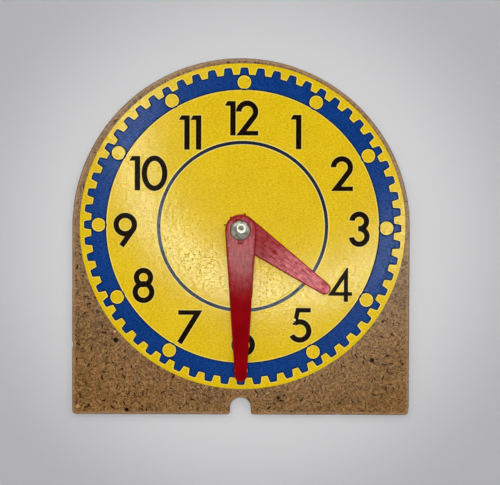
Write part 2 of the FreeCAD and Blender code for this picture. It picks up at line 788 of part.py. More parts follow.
def make_hand(label, length, level, turn, slip, slip_angle):
    """A moulded hand: a round hub that tapers to a round tip, with a bore and an ejector mark.

    In the body's own frame the hand points along +Y; its sides are tangent to both rounds.
    The bore is wide enough for the hand to have slipped sideways on the shank.
    """
    body = doc.addObject("PartDesign::Body", label)
    hub = value("hand_hub_radius")
    tip = value("hand_tip_radius")
    tip_y = value(f"{length} - hand_tip_radius")
    lift = (hub - tip) / tip_y
    side = (1 - lift * lift) ** 0.5
    outline = new_sketch(body, label + "_outline")
    hub_arc = arc(
        outline, point(-hub * side, hub * lift), point(0, -hub), point(hub * side, hub * lift)
    )
    right = line(
        outline, point(hub * side, hub * lift), point(tip * side, tip_y + tip * lift)
    )
    tip_arc = arc(
        outline,
        point(tip * side, tip_y + tip * lift),
        point(0, tip_y + tip),
        point(-tip * side, tip_y + tip * lift),
    )
    left = line(
        outline, point(-tip * side, tip_y + tip * lift), point(-hub * side, hub * lift)
    )
    tie(outline, "Tangent", hub_arc, 2, right, 1)
    tie(outline, "Tangent", right, 2, tip_arc, 1)
    tie(outline, "Tangent", tip_arc, 2, left, 1)
    tie(outline, "Tangent", left, 2, hub_arc, 1)
    tie(outline, "Coincident", hub_arc, 3, -1, 1)
    tie(outline, "PointOnObject", tip_arc, 3, -2)
    dimension(outline, "hub", "Radius", (hub_arc,), "hand_hub_radius")
    dimension(outline, "tip", "Radius", (tip_arc,), "hand_tip_radius")
    dimension(outline, "reach", "DistanceY", (-1, 1, tip_arc, 3), f"{length} - hand_tip_radius")
    blank = pad(body, label + "_blank", outline, "hand_thickness")

    top_z = value("hand_thickness")

    def on_front_face(edge):
        return all(abs(vertex.Z - top_z) < SAME for vertex in edge.Vertexes)

    round_edges(body, label + "_edges", blank, "hand_edge_round", on_front_face)

    bore = new_sketch(body, label + "_bore_outline", level="hand_thickness")
    circle(bore, "bore", f"rivet_shank_radius + {slip} + running_clearance")
    pocket(body, label + "_bore", bore, "hand_thickness")

    mark = new_sketch(body, label + "_mark_outline", level="hand_thickness")
    circle(mark, "mark", "ejector_mark_radius", "0", "ejector_mark_reach")
    pocket(body, label + "_mark", mark, "ejector_mark_depth")

    slipped_x = f"{PIVOT_X} + {slip} * sin({slip_angle})"
    slipped_y = f"{PIVOT_Y} + {slip} * cos({slip_angle})"
    place(body, slipped_x, slipped_y, level, f"360 - {turn}")
    return sub_part(body, label)


# ---------------------------------------------------------------- the rivet and washers

def make_rivet():
    """Turned about the pivot: dome, rim, shank, rolled end and the shank's blind bore."""
    body = doc.addObject("PartDesign::Body", "rivet")
    shank_length = RIVET_HEAD_LEVEL + " - recess_sink"
    head = value("rivet_head_radius")
    crown = value("rivet_head_height")
    rim = value("rivet_head_rim")
    shank = value("rivet_shank_radius")
    end = -value(shank_length)
    roll = value("rivet_roll_height")
    roll_x = value("rivet_roll_radius - rivet_roll_height / 2")
    bore = value("rivet_bore_radius")
    bore_top = end + value("rivet_bore_depth")
    # the dome is one arc from the crown to the rim; half way out it lies at this height
    dome_rise = crown - rim
    dome_radius = (head * head + dome_rise * dome_rise) / (2 * dome_rise)
    half_out = head / 2
    dome_half = crown - dome_radius + (dome_radius ** 2 - half_out ** 2) ** 0.5

    profile = new_sketch(body, "rivet_profile", role="XZ_Plane")
    dome = arc(profile, point(head, rim), point(half_out, dome_half), point(0, crown))
    axis = line(profile, point(0, crown), point(0, bore_top))
    floor = line(profile, point(0, bore_top), point(bore, bore_top))
    wall = line(profile, point(bore, bore_top), point(bore, end + roll))
    flare_middle = point(
        roll_x - (roll_x - bore) * ARC_BULGE, end + roll * (1 - ARC_BULGE)
    )
    flare = arc(profile, point(bore, end + roll), flare_middle, point(roll_x, end))
    edge = arc(
        profile, point(roll_x, end), point(roll_x + roll / 2, end + roll / 2),
        point(roll_x, end + roll),
    )
    seat = line(profile, point(roll_x, end + roll), point(shank, end + roll))
    side = line(profile, point(shank, end + roll), point(shank, 0))
    underside = line(profile, point(shank, 0), point(head, 0))
    rim_side = line(profile, point(head, 0), point(head, rim))
    loop = [dome, axis, floor, wall, flare, edge, seat, side, underside, rim_side]
    for first, second in zip(loop, loop[1:] + loop[:1]):
        tie(profile, "Coincident", first, 2, second, 1)
    for upright in (axis, wall, side, rim_side):
        tie(profile, "Vertical", upright)
    for level_line in (floor, seat, underside):
        tie(profile, "Horizontal", level_line)
    tie(profile, "PointOnObject", axis, 1, -2)
    tie(profile, "PointOnObject", dome, 3, -2)
    tie(profile, "PointOnObject", side, 2, -1)
    tie(profile, "Vertical", edge, 1, edge, 2)
    tie(profile, "Vertical", edge, 3, edge, 1)
    dimension(profile, "crown", "DistanceY", (-1, 1, axis, 1), "rivet_head_height")
    dimension(profile, "rim", "DistanceY", (rim_side, 1, rim_side, 2), "rivet_head_rim")
    dimension(profile, "head", "DistanceX", (-1, 1, rim_side, 1), "rivet_head_radius")
    dimension(profile, "shank", "DistanceX", (-1, 1, side, 1), "rivet_shank_radius")
    dimension(profile, "bore", "DistanceX", (-1, 1, wall, 1), "rivet_bore_radius")
    dimension(profile, "depth", "DistanceY", (flare, 2, floor, 2), "rivet_bore_depth")
    dimension(profile, "length", "DistanceY", (flare, 2, -1, 1), shank_length)
    dimension(profile, "roll", "DistanceY", (edge, 1, edge, 2), "rivet_roll_height")
    dimension(profile, "flare_rise", "DistanceY", (flare, 2, flare, 1), "rivet_roll_height")
    reach = "rivet_roll_radius - rivet_roll_height / 2"
    dimension(profile, "roll_reach", "DistanceX", (-1, 1, edge, 1), reach)
    flare_radius = (
        "(pow(rivet_roll_radius - rivet_roll_height / 2 - rivet_bore_radius; 2)"
        " + pow(rivet_roll_height; 2)) / (2 * rivet_roll_height)"
    )
    dimension(profile, "flare_radius", "Radius", (flare,), flare_radius)

    turned = add_feature(body, "PartDesign::Revolution", "rivet_turned", profile)
    turned.ReferenceAxis = (profile, ["V_Axis"])
    turned.Angle = 360
    place(body, PIVOT_X, PIVOT_Y, RIVET_HEAD_LEVEL)
    return sub_part(body, "rivet")


def make_washer(label, radius, thickness, level):
    """A flat washer, loose on the rivet's shank."""
    disc = cylinder(label + "_disc", radius, thickness, PIVOT_X, PIVOT_Y, level)
    hole = drill(label + "_bore", WASHER_BORE_RADIUS, thickness, PIVOT_X, PIVOT_Y, level)
    return sub_part(cut(label, disc, hole), label)


# ---------------------------------------------------------------- the clock

make_backboard()
make_dial_ground()
make_gear_ring()
make_chapter_ring()
make_numerals()
make_hand(
    "hour_hand", "hour_hand_length", HOUR_HAND_LEVEL, "hour_hand_angle",
    "hour_hand_slip", "hour_slip_angle",
)
make_hand(
    "minute_hand", "minute_hand_length", MINUTE_HAND_LEVEL, "minute_hand_angle",
    "minute_hand_slip", "minute_slip_angle",
)
make_rivet()
make_washer("dial_washer", "washer_radius", "washer_thickness", DIAL_LEVEL)
make_washer("hand_washer", "washer_radius", "washer_thickness", HAND_WASHER_LEVEL)
back_washer_level = "rivet_roll_height + recess_sink"
make_washer("back_washer", "back_washer_radius", "back_washer_thickness", back_washer_level)
doc.recompute()

for item in doc.Objects:
    if "Invalid" in item.State or "Error" in item.State:
        raise ValueError(f"{item.Name} failed: {item.State}")
for item in sub_parts:
    if item.Shape.isNull() or not item.Shape.isValid():
        raise ValueError(f"{item.Label} has no valid shape")

os.makedirs("parts", exist_ok=True)
for item in sub_parts:
    item.Shape.exportStep(os.path.join("parts", item.Label + ".step"))
    print(item.Label, len(item.Shape.Solids), "solid(s),", round(item.Shape.Volume, 3), "mm3")
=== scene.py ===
from math import asin, cos, degrees, pi, radians, sin

import bmesh
import bpy
import numpy as np
from mathutils import Euler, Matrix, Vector


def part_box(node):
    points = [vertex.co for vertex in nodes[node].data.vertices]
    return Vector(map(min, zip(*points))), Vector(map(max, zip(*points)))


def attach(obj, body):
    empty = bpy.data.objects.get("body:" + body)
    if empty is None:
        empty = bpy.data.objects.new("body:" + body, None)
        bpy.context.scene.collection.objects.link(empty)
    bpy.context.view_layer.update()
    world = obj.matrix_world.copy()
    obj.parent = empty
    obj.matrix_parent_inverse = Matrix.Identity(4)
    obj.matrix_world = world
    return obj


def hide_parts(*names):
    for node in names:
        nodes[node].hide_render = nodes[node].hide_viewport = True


# A small classroom teaching clock, lying on its back on a pale table: a hardboard dial board
# with a screen-printed dial, and two loose red moulded hands on one domed rivet.
# Blender works in metres; lengths are written in millimetres times MM.

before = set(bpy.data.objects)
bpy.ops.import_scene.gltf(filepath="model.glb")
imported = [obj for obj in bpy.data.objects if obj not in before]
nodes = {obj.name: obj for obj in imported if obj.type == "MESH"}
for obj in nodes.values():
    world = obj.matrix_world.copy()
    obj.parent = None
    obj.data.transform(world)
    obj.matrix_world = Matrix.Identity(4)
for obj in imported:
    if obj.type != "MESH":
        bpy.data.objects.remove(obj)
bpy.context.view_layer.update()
MM = 0.001

# ---------------------------------------------------------------- sizes

BOARD_LOW, BOARD_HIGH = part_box("backboard")
BOARD_HALF = BOARD_HIGH.x
ARCH_Y = BOARD_HIGH.y - BOARD_HALF
BOARD_CORNER = 1.4 * MM
NOTCH_WIDTH = 7.1 * MM
NOTCH_DEPTH = 5.75 * MM
NOTCH_LIP = 0.9 * MM
BOARD_HOLE = 1.95 * MM
RECESS_RADIUS = 4.9 * MM
RECESS_DEPTH = 1.4 * MM
BOARD_EDGE_ROUND = 0.45 * MM
BACK_EDGE_ROUND = 0.3 * MM

RIVET_LOW, RIVET_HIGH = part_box("rivet")
PIVOT = np.array((RIVET_LOW + RIVET_HIGH) / 2)[:2]

DIAL_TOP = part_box("dial_ground_print")[1].z
INK_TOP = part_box("gear_ring_print")[1].z

HUB_RADIUS = 5.2 * MM
TIP_RADIUS = 2.05 * MM
HAND_EDGE_ROUND = 0.5 * MM
HAND_EDGE_WIDTH = 0.75 * MM
HAND_FOOT_ROUND = 0.12 * MM
MARK_RADIUS = 0.95 * MM
MARK_REACH = 3.35 * MM
MARK_DEPTH = 0.1 * MM
MARK_WALL = 0.12 * MM

# each hand: its length, the radius of its bore, where it points, and how far and which way its
# hub has slipped on the rivet; bearings are in degrees clockwise from twelve o'clock
HANDS = {
    "hour_hand": {
        "length": 36.5 * MM, "bore": 2.13 * MM, "points": 124.9,
        "slip": 0.25 * MM, "slips": 35.0,
    },
    "minute_hand": {
        "length": 50.5 * MM, "bore": 2.23 * MM, "points": 179.8,
        "slip": 0.35 * MM, "slips": 155.0,
    },
}

# edges that turn by more than this are drawn sharp; points nearer than this are one point
SHARP_ANGLE = radians(40)
MERGE_DISTANCE = 0.0005 * MM

rng = np.random.default_rng(12)


# ---------------------------------------------------------------- lines and surfaces

def straight(start, end, count, crowd=1):
    """Count points from start to end, without the end: each at its share of the way raised to
    the crowd, so that a crowd over 1 draws them to the start and one under 1 to the end."""
    start, end = np.array(start, float), np.array(end, float)
    share = (np.arange(count) / count) ** crowd
    return start + (end - start) * share[:, None]


def bend(centre, radius, first, last, count):
    """Count points on an arc from one angle to another, in degrees, without the last: the
    centre plus the radius times the cosine and sine of even steps of angle."""
    angle = np.radians(first + (last - first) * np.arange(count) / count)
    return np.array(centre) + radius * np.column_stack([np.cos(angle), np.sin(angle)])


def outward(loop):
    """The unit normals of a counter-clockwise loop: its travel, turned a quarter clockwise."""
    travel = np.roll(loop, -1, axis=0) - np.roll(loop, 1, axis=0)
    normal = np.column_stack([travel[:, 1], -travel[:, 0]])
    return normal / np.linalg.norm(normal, axis=1, keepdims=True)


def at_height(loop, height):
    """A flat loop lifted to a height, or to a height for each of its points."""
    return np.column_stack([loop, np.broadcast_to(height, len(loop))])


def bearing_way(bearing):
    """The flat direction of a compass bearing in degrees: its sine across and cosine up."""
    return np.array((sin(radians(bearing)), cos(radians(bearing))))


def surface(name, grid, material, tube=False, **shares):
    """A mesh from rows of points, each row a closed loop, joined to the next by quads.

    A tube's last row joins its first. Shares are numbers kept at each point, for the material.
    """
    rows, columns = grid.shape[:2]
    index = np.arange(rows * columns).reshape(rows, columns)
    index = np.hstack([index, index[:, :1]])
    if tube:
        index = np.vstack([index, index[:1]])
    quads = np.stack([index[:-1, :-1], index[:-1, 1:], index[1:, 1:], index[1:, :-1]], -1)
    return piece(name, grid.reshape(-1, 3), quads.reshape(-1, 4), material, **shares)


def piece(name, points, quads, material, **shares):
    """An object from points and quads; equal points are merged and faces turned outwards."""
    mesh = bpy.data.meshes.new(name)
    mesh.from_pydata(points.tolist(), [], quads.tolist())
    for share, values in shares.items():
        attribute = mesh.attributes.new(share, "FLOAT", "POINT")
        attribute.data.foreach_set("value", np.ravel(values).astype(np.float32))
    work = bmesh.new()
    work.from_mesh(mesh)
    bmesh.ops.remove_doubles(work, verts=work.verts, dist=MERGE_DISTANCE)
    bmesh.ops.recalc_face_normals(work, faces=work.faces)
    work.to_mesh(mesh)
    work.free()
    mesh.shade_smooth()
    mesh.set_sharp_from_angle(angle=SHARP_ANGLE)
    mesh.materials.append(material)
    made = bpy.data.objects.new(name, mesh)
    bpy.context.scene.collection.objects.link(made)
    return made


def quarter_round(radius, count):
    """Inset and drop of a rounded edge: its radius times one minus the sine of even steps of
    angle, and times one minus their cosine."""
    angle = np.linspace(0, pi / 2, count)
    return np.column_stack([radius * (1 - np.sin(angle)), radius * (1 - np.cos(angle))])


# ---------------------------------------------------------------- node trees

SMOOTH = {"interpolation_type": "SMOOTHSTEP"}
COLOUR = {"data_type": "RGBA"}


def linear(hex_colour):
    """An sRGB hex colour as linear red, green and blue, with a full alpha."""
    share = np.array([int(hex_colour[place:place + 2], 16) for place in (0, 2, 4)]) / 255
    curve = np.where(share <= 0.04045, share / 12.92, ((share + 0.055) / 1.055) ** 2.4)
    return (*curve.tolist(), 1.0)


def add(tree, kind, inputs=None, **settings):
    """Add a node with its settings; inputs are values, or nodes or sockets to link."""
    made = tree.nodes.new("ShaderNode" + kind)
    for name, setting in settings.items():
        setattr(made, name, setting)
    for name, given in (inputs or {}).items():
        named = [socket for socket in made.inputs if socket.name == name and socket.enabled]
        socket = made.inputs[name] if isinstance(name, int) else named[0]
        if isinstance(given, bpy.types.Node):
            given = next(output for output in given.outputs if output.enabled)
        if isinstance(given, bpy.types.NodeSocket):
            tree.links.new(given, socket)
        else:
            socket.default_value = given
    return made


def blank_material(name):
    """A material with an empty node tree: the material, its tree and the object's own points."""
    material = bpy.data.materials.new(name)
    material.use_nodes = True
    material.node_tree.nodes.clear()
    points = add(material.node_tree, "TexCoord").outputs["Object"]
    return material, material.node_tree, points


def per_mm(size):
    """The texture scale that makes one cell of a pattern this many millimetres wide."""
    return 1 / (size * MM)


def flecks(tree, points, cell, length, width, chance, soft=0.35):
    """Short straight flecks strewn at random: 1 inside a fleck and 0 outside.

    Space is divided into random cells, a share of which holds a fleck: an ellipsoid at the
    cell's own point, turned by the cell's own random angle. All lengths are in millimetres.
    """
    cells = add(tree, "TexVoronoi", {"Vector": points, "Scale": per_mm(cell)})
    place = cells.outputs["Position"]
    local = add(tree, "VectorMath", {0: points, 1: place}, operation="SUBTRACT")
    luck = add(tree, "SeparateColor", {"Color": cells.outputs["Color"]})
    turn = add(tree, "Math", {0: luck.outputs["Red"], 1: 2 * pi}, operation="MULTIPLY")
    turned = add(tree, "VectorRotate", {"Vector": local, "Angle": turn}, rotation_type="Z_AXIS")
    squeeze = (2 / (length * MM), 2 / (width * MM), 2 / (length * MM))
    squeezed = add(tree, "VectorMath", {0: turned, 1: squeeze}, operation="MULTIPLY")
    reach = add(tree, "VectorMath", {0: squeezed}, operation="LENGTH")
    size = add(tree, "MapRange", {
        "Value": luck.outputs["Green"], "To Min": 0.55, "To Max": 1.25
    })
    share = add(tree, "Math", {0: reach, 1: size}, operation="DIVIDE")
    inside = add(tree, "MapRange", {
        "Value": share, "From Min": 1 - soft, "From Max": 1 + soft, "To Min": 1, "To Max": 0
    }, **SMOOTH)
    held = add(tree, "Math", {0: luck.outputs["Blue"], 1: chance}, operation="LESS_THAN")
    return add(tree, "Math", {0: inside, 1: held}, operation="MULTIPLY")


def spot(tree, points, x, y, radius, soft=0.4):
    """A round mark on the face at a named place: 1 inside and 0 outside, in millimetres."""
    flat = add(tree, "VectorMath", {0: points, 1: (1, 1, 0)}, operation="MULTIPLY")
    away = add(tree, "VectorMath", {0: flat, 1: (x * MM, y * MM, 0)}, operation="DISTANCE")
    return add(tree, "MapRange", {
        "Value": away, "From Min": radius * (1 - soft) * MM, "From Max": radius * (1 + soft) * MM,
        "To Min": 1, "To Max": 0
    }, **SMOOTH)


# ---------------------------------------------------------------- materials

# large marks on the board's face: across, up, radius in millimetres, colour
BOARD_MARKS = [
    (-42.3, -35.1, 0.85, "120a06"),
    (-43.4, -32.9, 0.45, "6e2a18"),
    (-42.7, -32.2, 0.40, "c2a27a"),
    (-38.6, -58.8, 0.75, "120904"),
    (-51.5, -57.4, 0.50, "2a1809"),
    (-55.2, -57.6, 0.60, "b08a5c"),
    (-48.4, -25.6, 0.45, "1c0f06"),
    (-40.1, -44.9, 0.45, "1c0f06"),
    (-31.6, -51.9, 0.40, "1c0f06"),
    (12.9, -54.6, 0.60, "1a0e0a"),
    (17.3, -59.3, 0.45, "1a0e0a"),
    (44.6, -41.7, 0.80, "1a100a"),
    (46.3, -41.4, 0.35, "2b1b11"),
    (48.1, -28.5, 0.45, "1c0f06"),
    (52.8, -38.5, 0.35, "1c0f06"),
    (54.9, -43.0, 0.40, "1c0f06"),
]

# millimetres between the wires of the screen that marks the board's back
SCREEN_PITCH = 1.3


def hardboard():
    """Hardboard, wet-pressed wood fibre with one smooth face: brown felted fibre, mottled with
    dark bark specks and pale fibres, its rounded sawn edge rubbed grey and darkened with painted
    shade, a painted highlight where the edge starts to round, and its back marked by the wire
    screen that it was pressed on."""
    material, tree, points = blank_material("hardboard")
    warp = add(tree, "TexNoise", {"Vector": points, "Scale": per_mm(1.1)})
    shift = add(tree, "VectorMath", {
        0: warp.outputs["Color"], 1: (-0.5, -0.5, -0.5)
    }, operation="ADD")
    bent = add(tree, "VectorMath", {
        0: shift, 1: (0.55 * MM, 0.55 * MM, 0.55 * MM), 2: points
    }, operation="MULTIPLY_ADD")

    # felted fibre gives the face its warm brown: broad clouds, fine felt, small dark hollows
    broad = add(tree, "TexNoise", {"Vector": points, "Scale": per_mm(17), "Detail": 3})
    cloud = add(tree, "MapRange", {"Value": broad, "From Min": 0.3, "From Max": 0.7}, **SMOOTH)
    ground = add(tree, "Mix", {
        "Factor": cloud, "A": linear("64421d"), "B": linear("80592d")
    }, **COLOUR)
    felt = add(tree, "TexNoise", {
        "Vector": points, "Scale": per_mm(0.9), "Detail": 5, "Roughness": 0.7
    })
    tufts = add(tree, "MapRange", {"Value": felt, "From Min": 0.4, "From Max": 0.66}, **SMOOTH)
    ground = add(tree, "Mix", {"Factor": tufts, "A": ground, "B": linear("9c703b")}, **COLOUR)
    hollows = add(tree, "TexNoise", {"Vector": bent, "Scale": per_mm(0.62)})
    hollows = add(tree, "MapRange", {
        "Value": hollows, "From Min": 0.50, "From Max": 0.65, "To Max": 0.8
    }, **SMOOTH)
    ground = add(tree, "Mix", {"Factor": hollows, "A": ground, "B": linear("432a0e")}, **COLOUR)

    # strewn fibres and bark: cell, length and width in millimetres, share of cells that hold
    # one, softness of its edge, strength, colour
    strewn = [
        (2.3, 2.4, 0.22, 0.50, 0.4, 0.65, "b8955f"),
        (3.2, 2.1, 0.40, 0.45, 0.4, 0.70, "7e3b1c"),
        (1.5, 1.7, 0.24, 0.65, 0.4, 0.90, "2e1706"),
        (1.15, 0.85, 0.38, 0.58, 0.3, 1.00, "1f0f03"),
        (2.5, 1.70, 0.50, 0.44, 0.3, 1.00, "120803"),
    ]
    for cell, length, width, chance, soft, strength, shade in strewn:
        fleck = flecks(tree, bent, cell, length, width, chance, soft)
        share = add(tree, "Math", {0: fleck, 1: strength}, operation="MULTIPLY")
        ground = add(tree, "Mix", {"Factor": share, "A": ground, "B": linear(shade)}, **COLOUR)
    # the last and darkest are bark, which takes no gloss in the press
    bark = fleck
    for x, y, radius, shade in BOARD_MARKS:
        mark = spot(tree, points, x, y, radius, soft=0.3)
        ground = add(tree, "Mix", {"Factor": mark, "A": ground, "B": linear(shade)}, **COLOUR)
        bark = add(tree, "Math", {0: bark, 1: mark}, operation="MAXIMUM")
    gloss = add(tree, "MapRange", {"Value": bark, "To Min": 0.62, "To Max": 0.05})

    # the edge: a pale scuffed band with a painted highlight where it starts to round, and rubbed
    # grey-brown with painted shade over the rest of the round and down the side
    worn = add(tree, "Attribute", attribute_name="worn").outputs["Fac"]
    patchy = add(tree, "TexNoise", {"Vector": points, "Scale": per_mm(1.6), "Detail": 3})
    patchy = add(tree, "MapRange", {
        "Value": patchy, "From Min": 0.25, "From Max": 0.6, "To Min": 0.35, "To Max": 0.9
    }, **SMOOTH)
    rubbed_and_shaded = add(tree, "Math", {0: worn, 1: patchy}, operation="MULTIPLY")
    ground = add(tree, "Mix", {"Factor": rubbed_and_shaded, "A": ground, "B": linear("57432c")}, **COLOUR)
    pale = add(tree, "Attribute", attribute_name="pale").outputs["Fac"]
    scuffed_and_lit = add(tree, "Math", {0: pale, 1: patchy}, operation="MULTIPLY")
    ground = add(tree, "Mix", {"Factor": scuffed_and_lit, "A": ground, "B": linear("a98663")}, **COLOUR)

    # relief: the felt's grain, and on the back the woven screen, a product of two sine waves
    place = add(tree, "SeparateXYZ", {"Vector": points})
    back = add(tree, "MapRange", {
        "Value": place.outputs["Z"], "From Min": 0.05 * MM, "From Max": 0.4 * MM,
        "To Min": 1, "To Max": 0
    }, **SMOOTH)
    waves = []
    for way in ("X", "Y"):
        turns = add(tree, "Math", {
            0: place.outputs[way], 1: 2 * pi * per_mm(SCREEN_PITCH)
        }, operation="MULTIPLY")
        waves.append(add(tree, "Math", {0: turns}, operation="SINE"))
    woven = add(tree, "Math", {0: waves[0], 1: waves[1]}, operation="MULTIPLY")
    screen = add(tree, "Math", {0: woven, 1: back}, operation="MULTIPLY")
    grain = add(tree, "TexNoise", {
        "Vector": points, "Scale": per_mm(0.45), "Detail": 4, "Roughness": 0.65
    })
    height = add(tree, "Math", {0: screen, 1: 2.0, 2: grain}, operation="MULTIPLY_ADD")
    bump = add(tree, "Bump", {"Height": height, "Distance": 0.03 * MM})
    shader = add(tree, "BsdfPrincipled", {
        "Base Color": ground, "Normal": bump, "Roughness": 0.26, "IOR": 1.5,
        "Specular IOR Level": gloss
    })
    add(tree, "OutputMaterial", {"Surface": shader})
    return material


# where the yellow ink is dirtiest: across, up and radius in millimetres, and how dirty
DIRTY_PLACES = [
    (-24.6, -4.6, 1.6, 1.0), (-28.0, 3.0, 13.0, 0.35), (-14.5, -8.0, 6.5, 0.65),
    (-11.0, -17.0, 7.0, 0.3), (10.0, -16.0, 10.0, 0.4),
]

# where black ink has chipped off the 5: across, up and radius in millimetres
INK_CHIPS = [(18.2, -28.1, 0.42), (17.7, -27.3, 0.25), (17.9, -28.9, 0.22)]


def enamel(name, colour, deeper, roughness, gloss, mottle, dirt=None, chips=None, rim=None):
    """Gloss enamel ink, screen printed: an even, hard film with a fine grain, partly the screen's
    ripple from side to side. The grains' tops are glossy and a little lighter and the rest is
    dull, which breaks the shine into sparks.

    The mottle is the grain's share in the colour's unevenness, against a broad drift. Dirt is
    the colour of dust pits, chips are the places where the ink has come off, and rim is its
    colour at a printed edge.
    """
    material, tree, points = blank_material(name)
    stretched = add(tree, "Mapping", {"Vector": points, "Scale": (0.32, 1, 1)})
    ripple = add(tree, "TexNoise", {"Vector": stretched, "Scale": per_mm(0.3), "Detail": 1})
    peel = add(tree, "TexNoise", {"Vector": points, "Scale": per_mm(0.28), "Detail": 1})
    drift = add(tree, "TexNoise", {"Vector": points, "Scale": per_mm(9), "Detail": 3})
    grain = add(tree, "Mix", {"Factor": 0.45, "A": ripple, "B": peel})
    uneven = add(tree, "Mix", {"Factor": mottle, "A": drift, "B": grain})
    share = add(tree, "MapRange", {
        "Value": uneven, "From Min": 0.38, "From Max": 0.62
    }, **SMOOTH)
    film = add(tree, "Mix", {
        "Factor": share, "A": linear(deeper), "B": linear(colour)
    }, **COLOUR)
    shine = add(tree, "MapRange", {
        "Value": grain, "From Min": 0.45, "From Max": 0.55, "To Min": 0, "To Max": 2 * gloss
    }, **SMOOTH)
    if dirt:
        cluster = add(tree, "TexNoise", {"Vector": points, "Scale": per_mm(12), "Detail": 1})
        dirty = add(tree, "MapRange", {
            "Value": cluster, "From Min": 0.60, "From Max": 0.80, "To Min": 0.1, "To Max": 0.3
        }, **SMOOTH)
        for x, y, radius, how_dirty in DIRTY_PLACES:
            near = spot(tree, points, x, y, radius, soft=0.8)
            near = add(tree, "Math", {0: near, 1: how_dirty}, operation="MULTIPLY")
            dirty = add(tree, "Math", {0: dirty, 1: near}, operation="MAXIMUM")
        pits = flecks(tree, points, cell=0.75, length=0.62, width=0.28, chance=0.6)
        pits = add(tree, "Math", {0: pits, 1: dirty}, operation="MULTIPLY")
        film = add(tree, "Mix", {"Factor": pits, "A": film, "B": linear(dirt)}, **COLOUR)
        clean = add(tree, "MapRange", {
            "Value": pits, "From Max": 0.4, "To Min": 1, "To Max": 0
        })
        shine = add(tree, "Math", {0: shine, 1: clean}, operation="MULTIPLY")
    if chips:
        for x, y, radius in chips:
            chip = spot(tree, points, x, y, radius, soft=0.2)
            film = add(tree, "Mix", {
                "Factor": chip, "A": film, "B": linear("e8d890")
            }, **COLOUR)
    if rim:
        fade = add(tree, "Attribute", attribute_name="fade").outputs["Fac"]
        film = add(tree, "Mix", {"Factor": fade, "A": film, "B": linear(rim)}, **COLOUR)
    waves = add(tree, "Bump", {"Height": ripple, "Distance": 0.004 * MM})
    shader = add(tree, "BsdfPrincipled", {
        "Base Color": film, "Roughness": roughness, "Normal": waves, "IOR": 1.5,
        "Specular IOR Level": shine
    })
    add(tree, "OutputMaterial", {"Surface": shader})
    return material


def hub_place(label):
    """Where a hand's hub is: the pivot, and the hand's slip beside it."""
    return PIVOT + HANDS[label]["slip"] * bearing_way(HANDS[label]["slips"])


